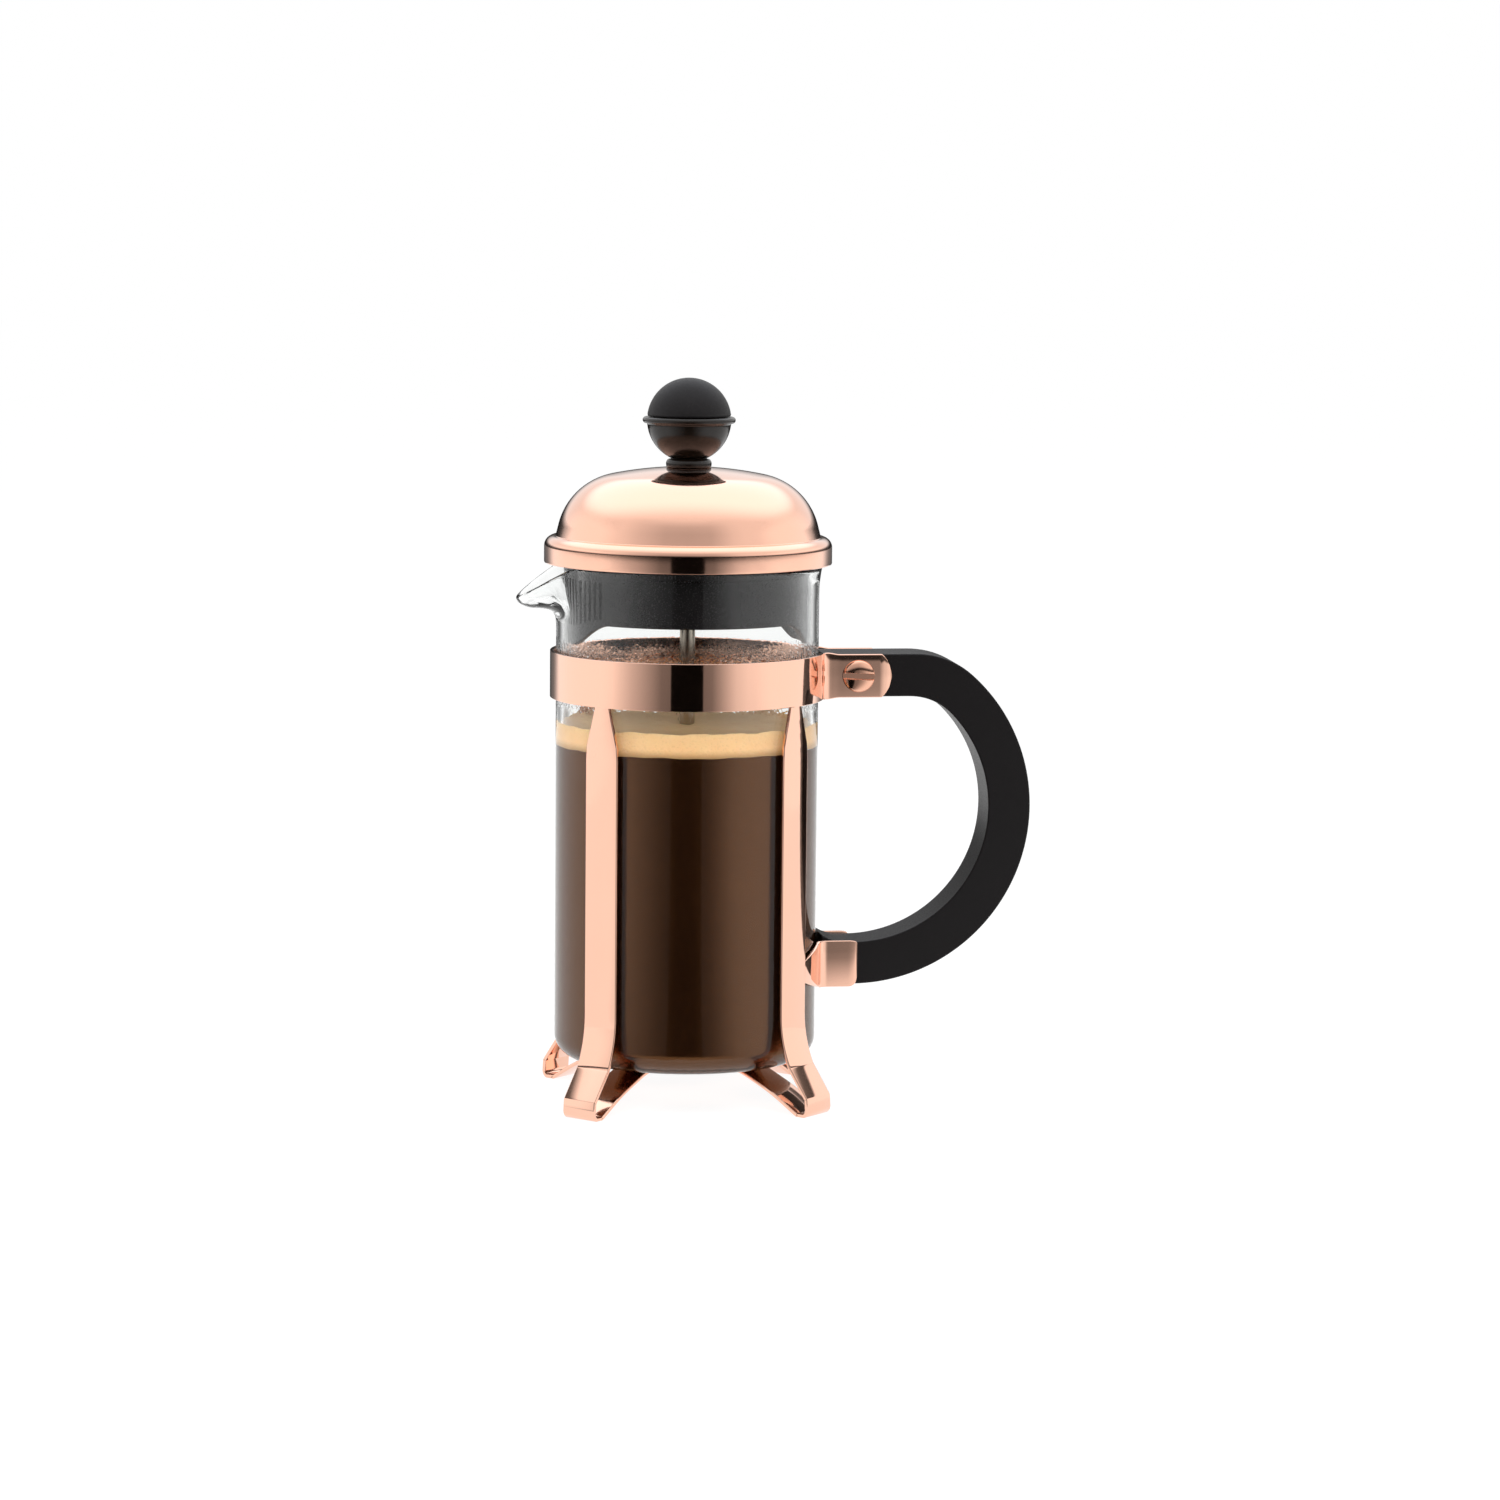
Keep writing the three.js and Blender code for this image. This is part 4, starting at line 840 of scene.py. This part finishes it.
black_plastic = moulded_plastic("satin_black_plastic", (0.0048, 0.0038, 0.0041), 0.34, 0.46, 0.25, 0.22)
side_view = handle_outline()
count = len(side_view)
points = np.concatenate([
    np.stack([side_view[:, 0], np.full(count, y), side_view[:, 1]], axis=-1)
    for y in (-HANDLE_T / 2, HANDLE_T / 2)])
index = np.arange(count)
walls = np.stack([index, (index + 1) % count, count + (index + 1) % count, count + index], axis=-1)
faces = [*walls.tolist(), index.tolist(), (count + index[::-1]).tolist()]
handle = closed_shell("handle_moulding", points, faces, black_plastic, 180)
rounding = handle.modifiers.new("rounded_edges", "BEVEL")
rounding.width = 0.0024
rounding.segments = 6
rounding.limit_method = "ANGLE"
rounding.angle_limit = np.radians(50)
rounding.harden_normals = True
set_piece(handle, "frame", "black_plastic", "handle")

# Slotted screw and the sleeve nut that it turns into, both copper plated with domed heads
copper_screw = plated_copper("copper_screw", (0.90, 0.49, 0.34), 0.07, 0.13, (700, 700, 700))
screw_low, screw_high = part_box("handle_screw")
SCREW_X = ((screw_low.x + screw_high.x) / 2 - AXIS_X) * 1000
SCREW_Z = (screw_low.z + screw_high.z) * 500
HEAD_R = (screw_high.x - screw_low.x) * 500
HEAD_SEAT = EAR_Y + SHEET / 2 + 0.02
HEAD_H = -screw_low.y * 1000 - HEAD_SEAT


def head_grid(slotted, tilt=0.0):
    """Domed head on a polar grid: height falls as a flattened circle, and a straight slot with
    steep walls is sunk in it where its side coordinate is small."""
    share = np.concatenate([np.linspace(0, 0.9, 44), 0.9 + 0.1 * np.sin(np.linspace(0, np.pi / 2, 12))[1:]])
    t = np.linspace(0, 2 * np.pi, 144, endpoint=False)
    r = share[:, None] * HEAD_R
    x, z = r * np.cos(t), r * np.sin(t)
    dome = HEAD_H * (0.22 + 0.78 * np.sqrt(np.clip(1 - (0.97 * share[:, None]) ** 2.6, 0, 1))) * np.ones_like(x)
    edge = np.clip((share[:, None] - 0.93) / 0.07, 0, 1)
    dome -= 0.22 * HEAD_H * edge ** 2
    if slotted:
        side = np.abs(-x * np.sin(tilt) + z * np.cos(tilt))
        sunk = np.clip((0.86 - side) / 0.12, 0, 1)
        dome -= (dome - 0.45) * sunk * sunk * (3 - 2 * sunk) * (dome > 0.45)
    face = np.stack([x, -(HEAD_SEAT + dome), z], axis=-1)
    back = np.stack([x[-1:], np.full_like(x[-1:], -HEAD_SEAT), z[-1:]], axis=-1)
    middle = np.zeros_like(back) + [0, -HEAD_SEAT, 0]
    return np.concatenate([face, back, middle]) + [SCREW_X, 0, SCREW_Z]


for name, node, slotted, side in (("screw_head", "handle_screw", True, 1),
                                  ("nut_head", "handle_nut", False, -1)):
    grid = head_grid(slotted, np.radians(-3)) * [1, side, 1]
    head = closed_shell(name, grid, grid_faces(*grid.shape[:2], False, True), copper_screw, 40)
    set_piece(head, "frame", "copper_screw", node)

# ---- Lid ------------------------------------------------------------------------------
# A dome drawn from thin steel, polished to a mirror and plated, with a step to a straight rim that
# covers the beaker's lip. A black plastic insert snaps in under it and reaches into the glass.
dome_low, dome_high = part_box("lid_dome")
RIM_R = dome_high.y * 1000
RIM_Z = dome_low.z * 1000
CROWN_Z = RIM_Z + 25.5
CROWN_R = 103.0
SHOULDER_R = 18.0
WALL_R = GLASS_R - 0.45
DRAFT = np.degrees(0.231)
LID_SHEET = 0.9
LEDGE_H = 7.1
RIM_H = 4.4


def dome_curve(inset, hole, steps):
    """Profile of the dome from its leaning wall over the shoulder to the crown, set in from its
    outer face: an arc for the shoulder that runs on into a flatter arc for the crown."""
    shoulder_x = WALL_R - SHOULDER_R * np.cos(np.radians(DRAFT))
    lift = np.sqrt((CROWN_R - SHOULDER_R) ** 2 - shoulder_x ** 2)
    meet = np.degrees(np.arctan2(lift, shoulder_x))
    top = np.degrees(np.arccos(hole / (CROWN_R - inset)))
    return np.concatenate([
        arc(shoulder_x, CROWN_Z - CROWN_R + lift, SHOULDER_R - inset, DRAFT, meet, steps),
        arc(0, CROWN_Z - CROWN_R, CROWN_R - inset, meet, top, steps // 2)[1:]])


def lid_profile():
    """Closed profile of the lid: rim, rolled bead, ledge with a fillet up into the dome, and the
    same again inside one sheet's thickness away."""
    ledge = RIM_Z + LEDGE_H
    hole = 3.7
    bead = LEDGE_H - RIM_H
    curve = dome_curve(0, hole, 48)
    foot = curve[0, 0] + (curve[0, 1] - ledge) * np.tan(np.radians(DRAFT))
    bottom = eased([
        (RIM_R - LID_SHEET, RIM_Z + 1), (RIM_R - LID_SHEET, RIM_Z), (RIM_R, RIM_Z), (RIM_R, RIM_Z + 1)], 0.4)[1:]
    outer = np.concatenate([
        bottom, arc(RIM_R - bead, RIM_Z + RIM_H, bead, 0, 84, 12),
        eased([(RIM_R - bead, ledge), (foot + 0.05, ledge - 0.02), (curve[0, 0], curve[0, 1])], 1.1, 8)[1:],
        curve[1:]])
    inner = np.concatenate([
        dome_curve(LID_SHEET, hole, 24)[::-1],
        [(foot - LID_SHEET, ledge - LID_SHEET), (RIM_R - bead, ledge - LID_SHEET),
         (RIM_R - LID_SHEET, RIM_Z + RIM_H)]])
    return np.concatenate([outer, inner])


mirror_copper = plated_copper("mirror_copper", (0.93, 0.535, 0.39), 0.07, 0.11, (260, 260, 500))
set_piece(turned_shell("copper_lid", lid_profile(), mirror_copper, ring=True, turns=256),
          "lid", "copper_lid", "lid_dome")

grey_black = moulded_plastic("smooth_black_plastic", (0.0085, 0.0072, 0.0075), 0.2, 0.3, 0.12, 0.32)
SKIRT_R = GLASS_IN_R - 1.4
SKIRT_T = 1.3
SKIRT_DROP = 14.6
TONGUE_DROP = 20.7


def smooth_step(x):
    """0 below 0 and 1 above 1, with an even S between them."""
    x = np.clip(x, 0, 1)
    return x * x * (3 - 2 * x)


def tongue(turn):
    """1 within 13 degrees of the spout or the handle, 0 past 43 degrees from both."""
    turn = np.abs((turn + np.pi) % (2 * np.pi) - np.pi)
    return smooth_step((43 - np.degrees(np.minimum(turn, np.pi - turn))) / 30)


def pierced_shell(outer, inner, solid):
    """Wall between two grids of points that close round on themselves, with openings: each whole
    cell has an outer and an inner face, and a wall wherever it borders an opening or an end."""
    rows, columns = outer.shape[:2]
    number = np.arange(rows * columns).reshape(rows, columns)
    off = rows * columns
    cells = grid_faces(rows, columns, False, True).reshape(rows - 1, columns, 4)
    faces = [cells[solid], cells[solid][:, ::-1] + off]
    padded = np.zeros((rows + 1, columns), bool)
    padded[1:-1] = solid
    nxt = np.roll(number, -1, axis=1)
    for row in range(rows):
        for here, there in ((padded[row + 1] & ~padded[row], False), (padded[row] & ~padded[row + 1], True)):
            a, b = number[row][here], nxt[row][here]
            quad = np.stack([a, a + off, b + off, b], axis=-1)
            faces.append(quad[:, ::-1] if there else quad)
    left = solid & ~np.roll(solid, 1, axis=1)
    right = solid & ~np.roll(solid, -1, axis=1)
    for mask, shift, flip in ((left, number, False), (right, nxt, True)):
        a, b = shift[:-1][mask], shift[1:][mask]
        quad = np.stack([a, b, b + off, a + off], axis=-1)
        faces.append(quad[:, ::-1] if flip else quad)
    used = np.concatenate(faces)
    points = np.concatenate([outer.reshape(-1, 3), inner.reshape(-1, 3)])
    keep, packed = np.unique(used, return_inverse=True)
    return points[keep], packed.reshape(used.shape)


def skirt_shell():
    """Thin round wall inside the glass whose lower edge dips to two tongues, with 21 upright slots
    by the spout that reach lower towards the middle."""
    pitch = 2.1 / SKIRT_R
    slot = 0.95 / SKIRT_R
    middle = np.pi + pitch * (np.arange(21) - 10)
    edges = np.sort(np.concatenate([middle - slot / 2, middle + slot / 2]))
    rest = np.linspace(edges[-1], edges[0] + 2 * np.pi, 150)[1:-1]
    t = np.concatenate([edges, rest])
    is_slot = np.zeros(len(t), bool)
    is_slot[:42:2] = True
    low = LIP_Z - SKIRT_DROP - (TONGUE_DROP - SKIRT_DROP) * tongue(t)
    top = np.full(len(t), LIP_Z + 0.3)
    slot_top = np.full(len(t), LIP_Z - 3.2)
    slot_low = LIP_Z - 12.6 - 2.9 * tongue(t)
    heights = np.stack([
        low, low + 0.25, (low + slot_low) / 2, slot_low, slot_low + 4, slot_top - 3, slot_top, top])
    inset = np.array([0.25, 0, 0, 0, 0, 0, 0, 0])[:, None]
    outer_r, inner_r = SKIRT_R - inset, SKIRT_R - SKIRT_T + inset
    solid = np.ones((7, len(t)), bool)
    solid[3:6] = ~is_slot
    outer = np.stack([outer_r * np.cos(t), outer_r * np.sin(t), heights], axis=-1)
    inner = np.stack([inner_r * np.cos(t), inner_r * np.sin(t), heights], axis=-1)
    return pierced_shell(outer, inner, solid)


insert_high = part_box("lid_insert")[1].z * 1000
plate_z = LIP_Z + 0.3
insert_profile = eased([
    (3.7, plate_z), (SKIRT_R - SKIRT_T - 0.4, plate_z), (SKIRT_R - 0.3, plate_z - 0.6),
    (SKIRT_R + 0.02, plate_z - 2.6), (GLASS_IN_R - 0.4, plate_z - 2.2), (GLASS_IN_R - 0.4, plate_z),
    (RIM_R - 1.25, plate_z), (RIM_R - 1.25, RIM_Z + RIM_H - 0.1),
    (RIM_R - 3, RIM_Z + 5.85), (RIM_R - 4.3, RIM_Z + 5.85), (RIM_R - 4.3, plate_z + 1.3), (5.5, plate_z + 1.3),
    (5.5, insert_high), (3.7, insert_high), (3.7, plate_z)], 0.3)[:-1]
disc = turned(insert_profile, 160)
points, faces = disc.reshape(-1, 3), grid_faces(*disc.shape[:2], True, True)
skirt_points, skirt_faces = skirt_shell()
set_piece(closed_shell("insert_moulding", np.concatenate([points, skirt_points]),
                       np.concatenate([faces, len(points) + skirt_faces]), grey_black, 40),
          "lid", "grey_black_plastic", "lid_insert")


def stainless(name, colour, rough_low, rough_high, grain):
    """Bright stainless steel with fine lines left by drawing or turning."""
    material, tree = new_material(name)
    place = object_place(tree)
    squeezed = put(tree, "ShaderNodeMapping", {"Vector": place, "Scale": grain})
    lines = put(tree, "ShaderNodeTexNoise", {
        "Vector": squeezed.outputs[0], "Scale": 1.0, "Detail": 6.0, "Roughness": 0.7})
    dull = tuple(c * 0.86 for c in colour)
    tone = two_tones(tree, lines.outputs["Fac"], (*dull, 1), (*colour, 1))
    haze = remap(tree, lines.outputs["Fac"], 0.3, 0.7, rough_low, rough_high)
    bump = put(tree, "ShaderNodeBump", {"Height": lines.outputs["Fac"], "Strength": 0.12, "Distance": 0.0001})
    metal = put(tree, "ShaderNodeBsdfPrincipled", {
        "Base Color": tone.outputs["Result"], "Metallic": 1.0, "Roughness": haze.outputs[0],
        "Normal": bump.outputs[0]})
    cover(tree, metal)
    return material


# Turned steel bush in the middle of the lid, which the rod slides in
bush_steel = stainless("turned_steel", (0.66, 0.65, 0.64), 0.18, 0.34, (500, 500, 6000))
bush_low, bush_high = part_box("lid_bush")
bush_profile = eased([
    (2.15, bush_low.z * 1000), (3.4, bush_low.z * 1000), (3.4, CROWN_Z + 0.3), (4.8, CROWN_Z + 0.3),
    (4.8, bush_high.z * 1000), (2.15, bush_high.z * 1000), (2.15, bush_low.z * 1000)], 0.2)[:-1]
set_piece(turned_shell("rod_bush", bush_profile, bush_steel, ring=True, turns=72),
          "lid_bush", "steel", "lid_bush")

# ---- Knob -----------------------------------------------------------------------------
# A ball in two mouldings: a glossy lower half with a bead, neck and flared foot, and a matt upper
# half pressed into it. A brass insert inside takes the rod's thread.
knob_low, knob_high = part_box("knob_base")
cap_low, cap_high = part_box("knob_cap")
BALL_R = (cap_high.y - cap_low.y) * 500 + 0.03
BALL_Z = cap_high.z * 1000 - BALL_R
NECK_R = 4.65
FOOT_R = 6.1
foot_z = knob_low.z * 1000
neck_at = np.degrees(np.arccos(NECK_R / BALL_R))
neck_z = BALL_Z - BALL_R * np.sin(np.radians(neck_at))
seam_z = BALL_Z + 0.76
seat_z = CROWN_Z - 0.1
knob_gloss = moulded_plastic("glossy_black_plastic", (0.007, 0.0045, 0.003), 0.16, 0.24, 0.05, 0.4)
knob_matt = moulded_plastic("matt_black_plastic", (0.007, 0.006, 0.0064), 0.42, 0.55, 0.4, 0.2)
base_profile = np.concatenate([
    [(2.4, foot_z + 0.9), (5.1, foot_z + 0.9), (5.1, seat_z)],
    eased([(5.1, seat_z), (FOOT_R - 0.15, seat_z - 0.03), (FOOT_R + 0.02, seat_z + 1.2),
           (FOOT_R - 0.45, neck_z - 0.2),
           (NECK_R + 0.2, neck_z - 0.12), (NECK_R, neck_z + 0.1)], 0.6)[1:-1],
    arc(0, BALL_Z, BALL_R, -neck_at + 1.5, -6.2, 40),
    eased([(BALL_R * 0.994, BALL_Z - 1.15), (BALL_R + 0.12, BALL_Z - 0.92)], 0.1),
    arc(BALL_R + 0.3, BALL_Z, 0.86, -75, 75, 12),
    [(BALL_R - 0.15, seam_z), (7.3, seam_z), (7.3, BALL_Z - 2.1), (3.9, BALL_Z - 2.1),
     (3.9, BALL_Z - 8.6), (2.4, BALL_Z - 8.6)]])
set_piece(turned_shell("knob_lower_half", base_profile, knob_gloss, ring=True, turns=144),
          "plunger", "knob_gloss_black", "knob_base")
cap_profile = np.concatenate([
    [(0, BALL_Z - 1.8), (7, BALL_Z - 1.8), (7, seam_z + 0.25)],
    eased([(7, seam_z + 0.25), (BALL_R - 0.25, seam_z + 0.25), (BALL_R * 0.992, seam_z + 0.7)], 0.25)[1:],
    arc(0, BALL_Z, BALL_R, 8.2, 90, 44)])
set_piece(turned_shell("knob_upper_half", cap_profile, knob_matt, turns=144),
          "plunger", "knob_satin_black", "knob_cap")

brass = stainless("turned_brass", (0.79, 0.60, 0.28), 0.2, 0.36, (500, 500, 5000))
refinish("knob_insert", brass)

# ---- Rod and filter pack --------------------------------------------------------------
# A drawn steel rod with the filter screwed to its end: hub, cross plate, woven mesh disc, spiral
# plate with a coil spring round its edge, and a collar that holds them on the rod.
rod_steel = stainless("drawn_steel", (0.50, 0.45, 0.38), 0.14, 0.3, (2600, 2600, 60))
rod_top, rod_end, rod_r = rod_high.z * 1000, rod_low.z * 1000, (rod_high.y - rod_low.y) * 500
rod_profile = eased([(0, rod_end), (rod_r, rod_end), (rod_r, rod_top), (0, rod_top)], 0.35)
set_piece(turned_shell("steel_rod", rod_profile, rod_steel, turns=64), "plunger", "steel", "plunger_rod")

pressed_steel = stainless("pressed_steel", (0.66, 0.65, 0.64), 0.2, 0.36, (400, 400, 400))
for node in ("filter_hub", "cross_plate", "spiral_plate", "rod_collar"):
    refinish(node, pressed_steel)

woven_wire, tree = new_material("woven_wire")
place = object_place(tree)
warp = put(tree, "ShaderNodeTexWave", {"Vector": place, "Scale": 520.0}, bands_direction="X")
weft = put(tree, "ShaderNodeTexWave", {"Vector": place, "Scale": 520.0}, bands_direction="Y")
weave = maths(tree, "MAXIMUM", warp.outputs["Fac"], weft.outputs["Fac"])
# The wires are light steel, and the openings between them are painted near black as painted shade in the holes
# of the weave.
wire_tone_and_gap_shade = two_tones(tree, weave.outputs[0], (0.06, 0.058, 0.055, 1), (0.62, 0.61, 0.6, 1))
wire_bump = put(tree, "ShaderNodeBump", {"Height": weave.outputs[0], "Strength": 0.6, "Distance": 0.0002})
wire = put(tree, "ShaderNodeBsdfPrincipled", {
    "Base Color": wire_tone_and_gap_shade.outputs["Result"], "Metallic": 1.0, "Roughness": 0.38,
    "Normal": wire_bump.outputs[0]})
cover(tree, wire)
mesh_low, mesh_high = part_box("mesh_filter")
rim_r, mesh_z, mesh_top = mesh_high.y * 1000, mesh_low.z * 1000, mesh_high.z * 1000
mesh_profile = eased([
    (2.35, mesh_z), (rim_r - 1.6, mesh_z), (rim_r, mesh_z + 1.6), (rim_r, mesh_top), (rim_r - 0.5, mesh_top),
    (rim_r - 0.5, mesh_z + 1.8), (rim_r - 1.8, mesh_z + 0.5), (2.35, mesh_z + 0.5), (2.35, mesh_z)], 0.6)[:-1]
set_piece(turned_shell("wire_mesh_disc", mesh_profile, woven_wire, ring=True, turns=160),
          "plunger", "wire_mesh", "mesh_filter")


def coil_grid(ring_r, ring_z, coil_r, wire_r, turns_round=84, steps=15):
    """Closed helix of wire wound on a ring: the wire's middle runs round a circle that itself
    runs round the plate, and its section is drawn square to the wire."""
    u = np.linspace(0, 2 * np.pi, turns_round * steps, endpoint=False)
    wind = turns_round * u
    r = ring_r + coil_r * np.cos(wind)
    middle = np.stack([r * np.cos(u), r * np.sin(u), ring_z + coil_r * np.sin(wind)], axis=-1)
    along = np.roll(middle, -1, axis=0) - np.roll(middle, 1, axis=0)
    along /= np.linalg.norm(along, axis=1, keepdims=True)
    out = np.stack([np.cos(wind) * np.cos(u), np.cos(wind) * np.sin(u), np.sin(wind)], axis=-1)
    out -= along * np.sum(out * along, axis=1, keepdims=True)
    out /= np.linalg.norm(out, axis=1, keepdims=True)
    side = np.cross(along, out)
    a = np.linspace(0, 2 * np.pi, 6, endpoint=False)[None, :, None]
    return middle[:, None] + wire_r * (np.cos(a) * out[:, None] + np.sin(a) * side[:, None])


coil_low, coil_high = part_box("spring_coil")
coil_outer, coil_half = coil_high.y * 1000, (coil_high.z - coil_low.z) * 500
grid = coil_grid(coil_outer - coil_half, (coil_low.z + coil_high.z) * 500, coil_half - 0.22, 0.22)
spring = closed_shell("wound_spring", grid, grid_faces(*grid.shape[:2], True, True), pressed_steel, 80)
set_piece(spring, "plunger", "steel", "spring_coil")
